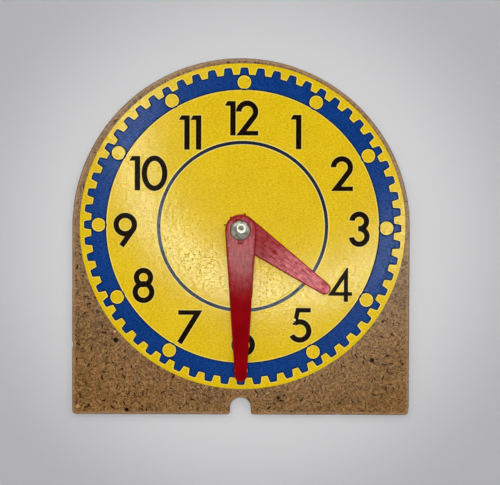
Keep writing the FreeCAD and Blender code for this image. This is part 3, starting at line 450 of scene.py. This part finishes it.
def moulded_red(label, hub_scuffs_and_sheen, tip_scuffs_and_sheen, bow=0):
    """Injection-moulded polystyrene, deep red right through: glossy where it is clean, with
    fine scratches along its length, a pinkish whitening of scuffs that is partly a painted sheen,
    by one share at the hub and another at the tip, an ejector mark whose wall is darkened with
    painted shade, a rounded edge painted a little lighter red as a painted highlight, and painted
    shade in the corner round the rivet. Its slight bow tilts its shine by a constant slope."""
    material, tree, points = blank_material(label + "_red")
    angle = HANDS[label]["points"]
    x, y = (hub_place(label) + MARK_REACH * bearing_way(angle)) / MM
    mark_radius = MARK_RADIUS / MM
    lengthwise = add(tree, "Mapping", {
        "Vector": points, "Rotation": (0, 0, -radians(angle)), "Scale": (1, 9, 1)
    }, vector_type="TEXTURE")
    cloud = add(tree, "TexNoise", {"Vector": points, "Scale": per_mm(5), "Detail": 3})
    share = add(tree, "MapRange", {"Value": cloud, "From Min": 0.3, "From Max": 0.7}, **SMOOTH)
    body = add(tree, "Mix", {
        "Factor": share, "A": linear("88030b"), "B": linear("7a0207")
    }, **COLOUR)

    # scratches and rubs together make the bloom, partly scuffing and partly a painted sheen,
    # which the moulding's edge is free of
    streaks = add(tree, "TexNoise", {
        "Vector": lengthwise, "Scale": per_mm(0.42), "Detail": 3, "Roughness": 0.6
    })
    rubs = add(tree, "TexNoise", {
        "Vector": points, "Scale": per_mm(1.7), "Detail": 4, "Roughness": 0.6
    })
    face = add(tree, "VectorMath", {0: points, 1: (1, 1, 0)}, operation="MULTIPLY")
    rivet = (float(PIVOT[0]), float(PIVOT[1]), 0)
    outwards = add(tree, "VectorMath", {0: face, 1: rivet}, operation="DISTANCE")
    # the bloom grows from the hub's share to the tip's: partly scuffs and partly a painted sheen
    # where the lamp's glare falls
    far = add(tree, "MapRange", {
        "Value": outwards, "From Min": 9 * MM, "From Max": 25 * MM,
        "To Min": hub_scuffs_and_sheen, "To Max": tip_scuffs_and_sheen
    }, **SMOOTH)
    bloom_and_sheen = add(tree, "Math", {0: rubs, 1: 0.8, 2: streaks}, operation="MULTIPLY_ADD")
    bloom_and_sheen = add(tree, "MapRange", {
        "Value": bloom_and_sheen, "From Min": 0.62, "From Max": 1.12
    }, **SMOOTH)
    # the rounded edge is painted a plain red a little lighter than the body: a painted highlight
    flat = add(tree, "Attribute", attribute_name="flat").outputs["Fac"]
    body = add(tree, "Mix", {"Factor": flat, "A": linear("8c040a"), "B": body}, **COLOUR)
    far = add(tree, "Math", {0: far, 1: flat}, operation="MULTIPLY")
    bloom_and_sheen = add(tree, "Math", {0: bloom_and_sheen, 1: far}, operation="MULTIPLY")
    body = add(tree, "Mix", {"Factor": bloom_and_sheen, "A": body, "B": linear("df7c84")}, **COLOUR)
    chips = flecks(tree, points, cell=0.9, length=0.9, width=0.2, chance=0.3)
    chips = add(tree, "Math", {0: chips, 1: far}, operation="MULTIPLY")
    chips = add(tree, "Math", {0: chips, 1: 0.7}, operation="MULTIPLY")
    body = add(tree, "Mix", {"Factor": chips, "A": body, "B": linear("ecb8b4")}, **COLOUR)

    # the ejector mark: its wall darkened with painted shade, and its floor; and painted shade
    # round the rivet's head
    mark = spot(tree, points, x, y, mark_radius, soft=0.12)
    body = add(tree, "Mix", {"Factor": mark, "A": body, "B": linear("4c0410")}, **COLOUR)
    floor = spot(tree, points, x, y, 0.75 * mark_radius, soft=0.2)
    body = add(tree, "Mix", {"Factor": floor, "A": body, "B": linear("861224")}, **COLOUR)
    rivet_shade = add(tree, "MapRange", {
        "Value": outwards, "From Min": 3.25 * MM, "From Max": 3.7 * MM,
        "To Min": 0.85, "To Max": 0
    }, **SMOOTH)
    body = add(tree, "Mix", {"Factor": rivet_shade, "A": body, "B": linear("420812")}, **COLOUR)

    dull = add(tree, "MapRange", {"Value": bloom_and_sheen, "To Min": 0.08, "To Max": 0.35})
    height = add(tree, "Math", {0: streaks, 1: rubs}, operation="ADD")
    bump = add(tree, "Bump", {"Height": height, "Distance": (0.005 + 0.008 * tip_scuffs_and_sheen) * MM})
    if bow:
        bowed = add(tree, "VectorMath", {0: points, 1: (0, bow, 0)}, operation="DOT_PRODUCT")
        bump = add(tree, "Bump", {"Height": bowed, "Distance": 1.0, "Normal": bump})
    shader = add(tree, "BsdfPrincipled", {
        "Base Color": body, "Roughness": dull, "Normal": bump, "IOR": 1.57,
        "Specular IOR Level": 0.1
    })
    add(tree, "OutputMaterial", {"Surface": shader})
    return material


def nickelled_steel(name, bright, dull, roughness, dents, bare):
    """Nickel-plated steel, struck and tumbled: mirror-like for the share that is bare metal and
    grey for the share under its thin oxide, with soft dents of a height in millimetres, small
    dark pits and patches where it has dulled."""
    material, tree, points = blank_material(name)
    patch = add(tree, "TexNoise", {"Vector": points, "Scale": per_mm(1.6), "Detail": 3})
    worn = add(tree, "MapRange", {"Value": patch, "From Min": 0.42, "From Max": 0.62}, **SMOOTH)
    plate = add(tree, "Mix", {
        "Factor": worn, "A": linear(bright), "B": linear(dull)
    }, **COLOUR)
    pits = flecks(tree, points, cell=0.85, length=0.5, width=0.38, chance=0.4)
    pits = add(tree, "Math", {0: pits, 1: 0.85}, operation="MULTIPLY")
    plate = add(tree, "Mix", {"Factor": pits, "A": plate, "B": linear("2a251e")}, **COLOUR)
    satin = add(tree, "MapRange", {
        "Value": worn, "To Min": roughness, "To Max": roughness + 0.05
    })
    bumps = add(tree, "TexNoise", {"Vector": points, "Scale": per_mm(0.5), "Detail": 2})
    bump = add(tree, "Bump", {"Height": bumps, "Distance": dents * MM})
    shader = add(tree, "BsdfPrincipled", {
        "Base Color": plate, "Metallic": bare, "Roughness": satin, "Normal": bump
    })
    add(tree, "OutputMaterial", {"Surface": shader})
    return material


def clear_nylon():
    """Natural nylon, die-cut from sheet: milky, translucent and satin."""
    material, tree, points = blank_material("clear_nylon")
    haze = add(tree, "TexNoise", {"Vector": points, "Scale": per_mm(1.5), "Detail": 3})
    share = add(tree, "MapRange", {"Value": haze, "From Min": 0.3, "From Max": 0.7}, **SMOOTH)
    milk = add(tree, "Mix", {
        "Factor": share, "A": linear("dcd8c8"), "B": linear("cbc6b2")
    }, **COLOUR)
    shader = add(tree, "BsdfPrincipled", {
        "Base Color": milk, "Roughness": 0.35, "IOR": 1.53, "Transmission Weight": 0.35
    })
    add(tree, "OutputMaterial", {"Surface": shader})
    return material


# ---------------------------------------------------------------- the board

def board_outline():
    """The board's edge, counter-clockwise from the top of the arch: two quarter arches, two
    straight sides with rounded lower corners, and the notch, an arch with eased lips."""
    half, low = BOARD_HALF, BOARD_LOW.y
    corner, lip, side = BOARD_CORNER, NOTCH_LIP, NOTCH_WIDTH / 2
    crown = low + NOTCH_DEPTH - side
    return np.vstack([
        bend((0, ARCH_Y), half, 90, 180, 210),
        straight((-half, ARCH_Y), (-half, low + corner), 150),
        bend((-half + corner, low + corner), corner, 180, 270, 10),
        straight((-half + corner, low), (-side - lip, low), 120),
        bend((-side - lip, low + lip), lip, 270, 360, 8),
        straight((-side, low + lip), (-side, crown), 4),
        bend((0, crown), side, 180, 0, 28),
        straight((side, crown), (side, low + lip), 4),
        bend((side + lip, low + lip), lip, 180, 270, 8),
        straight((side + lip, low), (half - corner, low), 120),
        bend((half - corner, low + corner), corner, 270, 360, 10),
        straight((half, low + corner), (half, ARCH_Y), 150),
        bend((0, ARCH_Y), half, 0, 90, 210),
    ])


def wander(travelled, whole, longest, shortest, count=24):
    """Smooth random variation round a closed line, mostly within -1 to 1: sine waves that each
    fit the line a whole number of times, summed and divided by the root of their count."""
    times = rng.integers(int(whole / longest), int(whole / shortest), count)
    phase = rng.uniform(0, 2 * pi, count)
    angle = 2 * pi * times * travelled[:, None] / whole + phase
    return np.sin(angle).sum(axis=1) / np.sqrt(count)


# dents in the board's edge: across, up, half width and depth in millimetres
EDGE_DENTS = [
    (-57.1, -36.8, 0.9, 0.30),
    (57.1, -58.9, 0.8, 0.22),
    (-57.1, 9.0, 0.7, 0.14),
    (20.0, 57.0, 0.8, 0.12),
    (33.0, -60.3, 0.9, 0.14),
]

# the ring inside which the board's rows of points are circles about the pivot, and how far each
# side of the notch its columns fan out so that none crosses the notch
FAN_RING = 46 * MM
FAN_HALF = 16 * MM

# the edge is rounded by this share of its radius, give or take a swing, and within limits; the
# saw has left it uneven by a little
WEAR_SHARE = 0.8
WEAR_SWING = 0.28
WEAR_LIMITS = (0.45, 1.5)
SAW_SWING = 0.02 * MM

# how far inside the start of the rounded edge the pale band, scuffed and with a painted
# highlight, begins, and is at a half
PALE_BAND = (0.9 * MM, 0.35 * MM)


def make_board():
    """A closed tube of loops round the pivot's hole: out over the face, over the rounded edge,
    rounded more in some places than in others, down the side and back along the back to the
    recess and the hole.

    A dent pushes the edge in by its depth times e to the minus square of the distance from its
    middle over its half width.
    """
    edge = board_outline()
    normal = outward(edge)
    step = np.linalg.norm(np.roll(edge, -1, axis=0) - edge, axis=1)
    travelled = np.cumsum(step) - step
    whole = step.sum()
    dent = np.zeros(len(edge))
    for x, y, half_width, depth in EDGE_DENTS:
        away = np.linalg.norm(edge - np.array((x, y)) * MM, axis=1)
        dent += depth * MM * np.exp(-(away / (half_width * MM)) ** 2)
    wear = 1 + WEAR_SWING * wander(travelled, whole, 60 * MM, 3 * MM)
    wear = np.clip(wear, *WEAR_LIMITS) * WEAR_SHARE
    uneven = SAW_SWING * wander(travelled, whole, 20 * MM, 1.5 * MM)

    offset = edge - PIVOT
    bearing = np.unwrap(np.arctan2(offset[:, 1], offset[:, 0]))
    notch_top = BOARD_LOW.y + NOTCH_DEPTH + NOTCH_LIP
    near = np.flatnonzero((abs(edge[:, 0]) < FAN_HALF) & (edge[:, 1] < notch_top))
    ends = near[[0, -1]]
    bearing[near] = np.interp(travelled[near], travelled[ends], bearing[ends])
    spoke = np.column_stack([np.cos(bearing), np.sin(bearing)])

    # beside the notch the rows crowd together, as its lips bend tighter than the rows reach in
    beyond = np.maximum(abs(edge[:, 0]) - NOTCH_WIDTH / 2 - NOTCH_LIP, 0)
    tight = np.exp(-(beyond / (1.5 * MM)) ** 2) * (edge[:, 1] < notch_top) / (0.9 * NOTCH_LIP)

    def inset(distance):
        """The edge moved in: by the distance, or less by the notch, and by dents and sawing."""
        return edge - normal * (distance / (1 + distance * tight) + dent + uneven)[:, None]

    def rings(radii, height):
        """Circles about the pivot at one height."""
        return [at_height(PIVOT + radius * spoke, height) for radius in radii]

    def fan(loop, height, count):
        """Loops at even shares of the way from the fan's ring to a loop."""
        circle = PIVOT + FAN_RING * spoke
        shares = np.linspace(0, 1, count + 2)[1:-1]
        return [at_height(circle + (loop - circle) * share, height) for share in shares]

    top, low = BOARD_HIGH.z, BOARD_LOW.z
    round_top = quarter_round(BOARD_EDGE_ROUND, 7)
    round_low = quarter_round(BACK_EDGE_ROUND, 5)[::-1]
    face_edge = inset(wear * BOARD_EDGE_ROUND)
    back_edge = inset(np.full(len(edge), BACK_EDGE_ROUND))
    face = rings(np.linspace(BOARD_HOLE, FAN_RING, 6), top) + fan(face_edge, top, 11)
    face += [at_height(inset(wear * BOARD_EDGE_ROUND + inward), top) for inward in PALE_BAND]
    shoulder = [at_height(inset(wear * inward), top - wear * drop) for inward, drop in round_top]
    heel = [
        at_height(inset(np.full(len(edge), inward)), low + drop) for inward, drop in round_low
    ]
    side_heights = np.linspace(shoulder[-1][:, 2], heel[0][:, 2], 5)[1:-1]
    side = [at_height(inset(np.zeros(len(edge))), height) for height in side_heights]
    back = fan(back_edge, low, 6)[::-1] + rings((FAN_RING, 25 * MM, RECESS_RADIUS), low)
    recess = rings((RECESS_RADIUS, BOARD_HOLE), low + RECESS_DEPTH)
    grid = np.array(face + shoulder + side + heel + back + recess)

    # how much each row is rubbed dark and darkened with painted shade at the edge, or scuffed
    # pale with a painted highlight just inside it
    worn, pale = np.zeros(grid.shape[:2]), np.zeros(grid.shape[:2])
    first = len(face)
    worn[first + 2:first + len(shoulder) + len(side) + len(heel)] = 1
    pale[first - 1:first + 2] = [[0.5], [0.7], [0.4]]
    board = surface("hardboard_back", grid, hardboard(), tube=True, worn=worn, pale=pale)
    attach(board, "clock_board")
    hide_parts("backboard")


# ---------------------------------------------------------------- the hands

def hand_loop(length, inset):
    """A hand's outline, drawn in by an inset: a round hub and a round tip, and the two straight
    lines that touch both, counter-clockwise with the hub at the origin and the tip along +Y."""
    reach = length - TIP_RADIUS
    lean = degrees(asin((HUB_RADIUS - TIP_RADIUS) / reach))
    hub, tip = HUB_RADIUS - inset, TIP_RADIUS - inset
    side = np.array((cos(radians(lean)), sin(radians(lean))))
    mirror = np.array((-1, 1))
    top = np.array((0, reach))
    return np.vstack([
        straight(hub * side, top + tip * side, 90, crowd=1.6),
        bend(top, tip, lean, 180 - lean, 28),
        straight(top + tip * side * mirror, hub * side * mirror, 90, crowd=0.62),
        bend((0, 0), hub, 180 - lean, 360 + lean, 90),
    ])


def make_hand(label, material):
    """A closed tube of loops round the bore: out over the flat top with its ejector mark, over
    the rounded edge, down the side and back along the underside."""
    length, bore = HANDS[label]["length"], HANDS[label]["bore"]
    low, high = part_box(label)
    thickness = high.z - low.z
    outline = hand_loop(length, 0)
    bearing = np.unwrap(np.arctan2(outline[:, 1], outline[:, 0]))
    spoke = np.column_stack([np.cos(bearing), np.sin(bearing)])
    inner_ring = HUB_RADIUS - HAND_EDGE_WIDTH - 0.05 * MM

    def rings(radii, height):
        """Circles about the hub at one height."""
        return [at_height(radius * spoke, height) for radius in radii]

    def fan(loop, height, count):
        """Loops from the hub's inner ring to a loop, at the cubes of even shares of the way."""
        circle = inner_ring * spoke
        shares = np.linspace(0, 1, count + 2)[1:-1] ** 3
        return [at_height(circle + (loop - circle) * share, height) for share in shares]

    top_round = quarter_round(HAND_EDGE_ROUND, 9) * (HAND_EDGE_WIDTH / HAND_EDGE_ROUND, 1)
    foot_round = quarter_round(HAND_FOOT_ROUND, 4)[::-1]
    top = rings(np.linspace(bore, inner_ring, 18), thickness)
    top += fan(hand_loop(length, HAND_EDGE_WIDTH), thickness, 20)
    shoulder = [
        at_height(hand_loop(length, inward), thickness - drop) for inward, drop in top_round
    ]
    foot = [at_height(hand_loop(length, inward), drop) for inward, drop in foot_round]
    under = fan(hand_loop(length, HAND_FOOT_ROUND), 0, 4)[::-1]
    under += rings((inner_ring, bore), 0)
    grid = np.array(top + shoulder + foot + under)

    # the share of flat top, which ends 0.05 to 0.15 mm down the rounded edge, and the ejector
    # mark: a shallow round dent with a soft wall
    flat = np.clip((grid[..., 2] - thickness) / (0.1 * MM) + 1.5, 0, 1)
    away = np.hypot(grid[..., 0], grid[..., 1] - MARK_REACH)
    dip = np.clip((MARK_RADIUS - away) / MARK_WALL + 0.5, 0, 1) * flat
    grid[..., 2] -= MARK_DEPTH * dip

    turn, hub = radians(HANDS[label]["points"]), hub_place(label)
    across = grid[..., 0] * cos(turn) + grid[..., 1] * sin(turn)
    up = -grid[..., 0] * sin(turn) + grid[..., 1] * cos(turn)
    grid[..., 0] = across + hub[0]
    grid[..., 1] = up + hub[1]
    grid[..., 2] += low.z
    hand = surface(label + "_moulding", grid, material, tube=True, flat=flat)
    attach(hand, label)
    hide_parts(label)


# burrs at the hour hand's hub: bearing from the hub in degrees clockwise, reach and radius in
# millimetres; how high they sit, and how many rows and columns of points each has
BURRS = [(287, 5.6, 0.30), (320, 5.35, 0.36), (15, 5.5, 0.30)]
BURR_LEVEL = 0.45 * MM
BURR_GRID = (7, 8)


def make_burrs(material):
    """Crumbs of moulding flash round the hour hand's hub: balls of rings whose radius varies
    at random by a quarter, flattened a little."""
    hub, level = hub_place("hour_hand"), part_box("hour_hand")[0].z + BURR_LEVEL
    rows, columns = BURR_GRID
    tilt = np.linspace(0, pi, rows)[:, None]
    turn = np.linspace(0, 2 * pi, columns, endpoint=False)
    index = np.arange(rows * columns).reshape(BURR_GRID)
    index = np.hstack([index, index[:, :1]])
    corners = [index[:-1, :-1], index[:-1, 1:], index[1:, 1:], index[1:, :-1]]
    ball_quads = np.stack(corners, -1).reshape(-1, 4)
    points, quads = [], []
    for bearing, reach, size in BURRS:
        radius = size * MM * rng.uniform(0.75, 1.25, BURR_GRID)
        radius[[0, -1]] = size * MM
        x, y = hub + reach * MM * bearing_way(bearing)
        ball = np.empty((rows, columns, 3))
        ball[..., 0] = x + radius * np.sin(tilt) * np.cos(turn)
        ball[..., 1] = y + radius * np.sin(tilt) * np.sin(turn)
        ball[..., 2] = level + 0.8 * radius * np.cos(tilt)
        quads.append(ball_quads + len(points) * rows * columns)
        points.append(ball.reshape(-1, 3))
    burrs = piece("hub_burrs", np.vstack(points), np.vstack(quads), material)
    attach(burrs, "hour_hand")


# ---------------------------------------------------------------- the rivet

def arc_profile(centre, radius, first, last, count):
    """Radius and height of points on an arc, from one angle to another in degrees."""
    angle = np.radians(np.linspace(first, last, count))
    return np.array(centre) + radius * np.column_stack([np.cos(angle), np.sin(angle)])


# the head's dome drops partly as a ball does, and for the rest with a higher power of the
# radius, which keeps the crown flat and rounds the shoulder
CROWN_BALL_SHARE = 0.53
CROWN_POWER = 10


def make_rivet():
    """A profile turned about the pivot: domed head, shank, rolled end and blind bore. The dome's
    drop is the ball's part times the square of the share of the radius, and the rest of it
    times that share's higher power."""
    head, crown, rim, ease = 3.175 * MM, 1.25 * MM, 0.3 * MM, 0.12 * MM
    shank, bore, bore_depth = 1.8 * MM, 1.15 * MM, 3.0 * MM
    roll, roll_height = 2.9 * MM, 0.7 * MM
    curl = roll_height / 2
    seat = RIVET_HIGH.z - crown
    end = RIVET_LOW.z
    out = (head - ease) * np.linspace(0, 1, 44) ** 0.8
    share = out / head
    drop = CROWN_BALL_SHARE * share ** 2 + (1 - CROWN_BALL_SHARE) * share ** CROWN_POWER
    cap = np.column_stack([out, RIVET_HIGH.z - (crown - rim) * drop])
    brim = cap[-1, 1] - ease
    profile = np.vstack([
        cap,
        arc_profile((head - ease, brim), ease, 60, 0, 5),
        [(head, seat + ease)],
        arc_profile((head - ease, seat + ease), ease, 0, -90, 5),
        [(shank, seat)],
        [(shank, end + roll_height)],
        arc_profile((roll - curl, end + curl), curl, 90, -90, 11),
        [((roll + bore) / 2 - 0.15 * MM, end + 0.22 * MM)],
        [(bore, end + roll_height)],
        [(bore, end + bore_depth)],
        [(0, end + bore_depth)],
    ])
    turn = np.linspace(0, 2 * pi, 96, endpoint=False)
    grid = np.empty((len(profile), len(turn), 3))
    grid[..., 0] = PIVOT[0] + profile[:, :1] * np.cos(turn)
    grid[..., 1] = PIVOT[1] + profile[:, :1] * np.sin(turn)
    grid[..., 2] = profile[:, 1:]
    plating = nickelled_steel(
        "nickelled_steel", "cdc7b8", "958f82", roughness=0.11, dents=0.0001, bare=0.65
    )
    rivet = surface("domed_rivet", grid, plating)
    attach(rivet, "clock_board")
    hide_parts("rivet")


# ---------------------------------------------------------------- rims of the printed shapes

def printed_outline(label):
    """The outlines of a print's top face: points, and each point's next and previous one.

    The outline is every edge of the top's triangles that no second triangle runs back along.
    """
    mesh = nodes[label].data
    mesh.calc_loop_triangles()
    points = np.empty(len(mesh.vertices) * 3)
    mesh.vertices.foreach_get("co", points)
    points, place = np.unique(points.reshape(-1, 3).round(7), axis=0, return_inverse=True)
    corners = np.empty(len(mesh.loop_triangles) * 3, int)
    mesh.loop_triangles.foreach_get("vertices", corners)
    corners = place.ravel()[corners].reshape(-1, 3)
    level = points[:, 2].max() - 0.001 * MM
    corners = corners[(points[corners, 2] > level).all(axis=1)]
    start, end = corners.ravel(), np.roll(corners, -1, axis=1).ravel()
    there, back = start * len(points) + end, end * len(points) + start
    rim = ~np.isin(there, back)
    start, end = start[rim], end[rim]
    after, before = np.arange(len(points)), np.arange(len(points))
    after[start], before[end] = end, start
    kept = np.unique(start)
    new_place = np.zeros(len(points), int)
    new_place[kept] = np.arange(len(kept))
    return points[kept], new_place[after[kept]], new_place[before[kept]]


def make_rim(name, labels, body, material, profile):
    """A ribbon along the outlines of printed shapes: a profile of offsets outwards and heights,
    carried round each outline on mitred normals, with the share of the rim's own colour."""
    all_points, all_quads, shares, count = [], [], [], 0
    for label in labels:
        points, after, before = printed_outline(label)
        ahead = points[after, :2] - points[:, :2]
        behind = points[:, :2] - points[before, :2]
        ahead /= np.linalg.norm(ahead, axis=1, keepdims=True)
        behind /= np.linalg.norm(behind, axis=1, keepdims=True)
        normal = np.column_stack([(ahead + behind)[:, 1], -(ahead + behind)[:, 0]])
        normal /= np.maximum((np.linalg.norm(normal, axis=1, keepdims=True) ** 2) / 2, 0.7)
        rows = [at_height(points[:, :2] + normal * out, height) for out, height, share in profile]
        index = count + np.arange(len(rows) * len(points)).reshape(len(rows), -1)
        ring = index[:, after]
        quads = np.stack([index[:-1], ring[:-1], ring[1:], index[1:]], -1)
        all_points.append(np.vstack(rows))
        all_quads.append(quads.reshape(-1, 4))
        shares.append(np.repeat([share for out, height, share in profile], len(points)))
        count += len(rows) * len(points)
    rim = piece(name, np.vstack(all_points), np.vstack(all_quads), material,
                fade=np.concatenate(shares))
    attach(rim, body)


# ---------------------------------------------------------------- building the clock

def dress(label, material):
    """Give a carried-over CAD node a material."""
    nodes[label].data.materials.clear()
    nodes[label].data.materials.append(material)


make_board()
hour_red = moulded_red("hour_hand", hub_scuffs_and_sheen=0.22, tip_scuffs_and_sheen=1.0)
make_hand("hour_hand", hour_red)
make_burrs(hour_red)
minute_red = moulded_red("minute_hand", hub_scuffs_and_sheen=0.36, tip_scuffs_and_sheen=0, bow=0.027)
make_hand("minute_hand", minute_red)
make_rivet()

# the inks of the dial, from the bright glossy ground to the nearly dull black
numerals = [f"numeral_{hour:02d}" for hour in range(1, 13)]
dress("dial_ground_print", enamel(
    "yellow_enamel", "e9c812", "cca503", roughness=0.13, gloss=0.35, mottle=0.9, dirt="522e00"
))
dress("gear_ring_print", enamel(
    "blue_enamel", "0b3f8c", "04265e", roughness=0.17, gloss=0.17, mottle=0.9
))
dress("chapter_ring_print", enamel(
    "navy_enamel", "1e243e", "0f1220", roughness=0.17, gloss=0.26, mottle=0.9
))
black = enamel(
    "black_enamel", "1f1204", "0b0400", roughness=0.2, gloss=0.03, mottle=0.9, chips=INK_CHIPS
)
for label in numerals:
    dress(label, black)

# where inks meet, the yellow is thin and pale and the blue stands up in a dark bead; rows of
# each rim: offset outwards, height, share of the rim's own colour
PALE_RIM = [
    (0, DIAL_TOP + 0.010 * MM, 1), (0.16 * MM, DIAL_TOP + 0.007 * MM, 0.9),
    (0.42 * MM, DIAL_TOP - 0.002 * MM, 0),
]
DARK_BEAD = [
    (-0.42 * MM, INK_TOP + 0.004 * MM, 0), (-0.26 * MM, INK_TOP + 0.012 * MM, 1),
    (0, INK_TOP + 0.010 * MM, 1), (0.07 * MM, DIAL_TOP, 1),
]
numeral_rim, ring_rim = (
    enamel(name, "e5c414", "d8b008", roughness=0.15, gloss=0.22, mottle=0.75, rim=rim)
    for name, rim in (("thinned_yellow_enamel", "dcc45c"), ("pale_yellow_enamel", "e2d084"))
)
bead = enamel(
    "blue_enamel_bead", "0f408c", "05275e", roughness=0.3, gloss=0.06, mottle=0.9, rim="080f1a"
)
ring_prints = ["gear_ring_print", "chapter_ring_print"]
make_rim("numeral_rims", numerals, "clock_board", numeral_rim, PALE_RIM)
make_rim("ring_rims", ring_prints, "clock_board", ring_rim, PALE_RIM)
make_rim("gear_ring_bead", ["gear_ring_print"], "clock_board", bead, DARK_BEAD)

nylon = clear_nylon()
dress("dial_washer", nylon)
dress("hand_washer", nylon)
dress("back_washer", nickelled_steel(
    "bright_steel", "a5a39d", "7f7d78", roughness=0.3, dents=0.01, bare=1
))


# ---------------------------------------------------------------- table, lamps and camera

# the camera hangs over the clock: its height, how many points its image is across and what one
# spans on the board, the place it aims at, its small tilt and roll, and its sensor's millimetres
VIEW_HEIGHT = 305 * MM
IMAGE_WIDTH = 500
POINT_SPAN = 0.3385 * MM
VIEW_X, VIEW_Y = 3.064 * MM, -1.925 * MM
VIEW_TILT, VIEW_ROLL = radians(-0.72), radians(0.2)
SENSOR_WIDTH = 36

# the table's top lies just under the board; half its side, and its level
TABLE_HALF = 1.5
TABLE_LEVEL = -0.05 * MM

# the ring lamp: how far it hangs beside the view's middle, its height, its inner and outer
# radius, its strength where it is dim and where it is bright, the bearing in degrees towards
# which it is brightest, and its faint green tint
LAMP_BESIDE = (29 * MM, 84 * MM)
LAMP_HEIGHT = 500 * MM
LAMP_RADII = (119.5 * MM, 149 * MM)
LAMP_DIM, LAMP_BRIGHT = 6.0, 13.0
LAMP_BEARING = 204
LAMP_TINT = (0.91, 1.0, 0.93, 1.0)

# the softbox: metres overhead, metres across, watts
SOFTBOX_HEIGHT = 0.75
SOFTBOX_WIDTH = 0.32
SOFTBOX_POWER = 2.68


def make_table():
    """A smooth pale grey table top, painted a little darker away from the clock: painted shade
    for the lamps' light falling off.
    """
    material, tree, points = blank_material("pale_table")
    away = add(tree, "VectorMath", {0: points, 1: (VIEW_X, VIEW_Y, 0)}, operation="DISTANCE")
    # painted shade: the top's paint darkens away from the clock, standing in for the lamps' light
    # falling off towards the corners
    far = add(tree, "MapRange", {
        "Value": away, "From Min": 55 * MM, "From Max": 108 * MM
    }, **SMOOTH)
    paint_with_painted_falloff = add(tree, "Mix", {
        "Factor": far, "A": linear("cfcdd0"), "B": linear("b1afb3")
    }, **COLOUR)
    shader = add(tree, "BsdfPrincipled", {
        "Base Color": paint_with_painted_falloff, "Roughness": 0.7, "Specular IOR Level": 0.2
    })
    add(tree, "OutputMaterial", {"Surface": shader})
    corners = TABLE_HALF * np.array([(-1, -1), (1, -1), (1, 1), (-1, 1)])
    points = at_height(corners, TABLE_LEVEL)
    table = piece("table_top", points, np.array([[0, 1, 2, 3]]), material)


def make_ring_lamp():
    """A flat glowing ring overhead, between two circles of points. It glows brightest towards
    its bearing and dim on its far side."""
    material, tree, points = blank_material("lamp_glow")
    middle = np.array((VIEW_X, VIEW_Y)) + LAMP_BESIDE
    local = add(tree, "VectorMath", {0: points, 1: (*middle, LAMP_HEIGHT)}, operation="SUBTRACT")
    towards = bearing_way(LAMP_BEARING) / max(LAMP_RADII)
    share = add(tree, "VectorMath", {0: local, 1: (*towards, 0)}, operation="DOT_PRODUCT")
    strength = add(tree, "MapRange", {
        "Value": share, "From Min": -0.2, "From Max": 0.95,
        "To Min": LAMP_DIM, "To Max": LAMP_BRIGHT
    })
    glow = add(tree, "Emission", {"Color": LAMP_TINT, "Strength": strength})
    add(tree, "OutputMaterial", {"Surface": glow})
    rows = [at_height(bend(middle, radius, 0, 360, 48), LAMP_HEIGHT) for radius in LAMP_RADII]
    lamp = surface("ring_lamp", np.array(rows), material)
    lamp.visible_camera = False
    lamp.visible_shadow = False


def make_overhead_softbox():
    """A round soft lamp straight above, which lights without showing in the gloss."""
    lamp = bpy.data.lights.new("overhead_softbox", "AREA")
    lamp.shape, lamp.size, lamp.energy = "DISK", SOFTBOX_WIDTH, SOFTBOX_POWER
    made = bpy.data.objects.new("overhead_softbox", lamp)
    made.location = (VIEW_X, VIEW_Y, SOFTBOX_HEIGHT)
    made.visible_camera = False
    made.visible_glossy = False
    bpy.context.scene.collection.objects.link(made)


def make_surroundings(overhead, front, behind, low, seen):
    """Plain light from all round: dim overhead, brighter in a band about 30 to 57 degrees off
    the vertical, least on six o'clock's side and most on twelve's, and low again towards the
    horizon. Where the camera looks straight into it, it is plain and pale."""
    world = bpy.data.worlds.new("studio")
    world.use_nodes = True
    tree = world.node_tree
    tree.nodes.clear()
    upwards = add(tree, "SeparateXYZ", {"Vector": add(tree, "TexCoord").outputs["Generated"]})
    rise = upwards.outputs["Z"]
    around = add(tree, "MapRange", {
        "Value": upwards.outputs["Y"], "From Min": -0.6, "From Max": 0.6,
        "To Min": front, "To Max": behind
    }, **SMOOTH)
    band = add(tree, "MapRange", {
        "Value": rise, "From Min": cos(radians(36)), "From Max": cos(radians(24)),
        "To Min": around, "To Max": overhead
    }, **SMOOTH)
    light = add(tree, "MapRange", {
        "Value": rise, "From Min": cos(radians(65)), "From Max": cos(radians(50)),
        "To Min": low, "To Max": band
    }, **SMOOTH)
    straight_seen = add(tree, "LightPath").outputs["Is Camera Ray"]
    strength = add(tree, "Mix", {"Factor": straight_seen, "A": light, "B": seen})
    glow = add(tree, "Background", {"Color": (1, 1, 1, 1), "Strength": strength})
    add(tree, "OutputWorld", {"Surface": glow})
    bpy.context.scene.world = world


def make_camera():
    """The camera, turned by its tilt and roll about the place on the board that it aims at."""
    lens = bpy.data.cameras.new("camera")
    lens.sensor_width = SENSOR_WIDTH
    lens.lens = SENSOR_WIDTH * VIEW_HEIGHT / (IMAGE_WIDTH * POINT_SPAN)
    lens.clip_start = 0.01
    camera = bpy.data.objects.new("camera", lens)
    camera.rotation_euler = Euler((VIEW_TILT, 0, VIEW_ROLL))
    aim = Vector((VIEW_X, VIEW_Y, BOARD_HIGH.z))
    camera.location = aim + camera.rotation_euler.to_matrix() @ Vector((0, 0, VIEW_HEIGHT))
    bpy.context.scene.collection.objects.link(camera)
    bpy.context.scene.camera = camera


make_camera()
make_table()
make_ring_lamp()
make_overhead_softbox()
make_surroundings(overhead=0.05, front=0.18, behind=1.15, low=0.22, seen=0.8)
bpy.context.scene.view_settings.view_transform = "Standard"
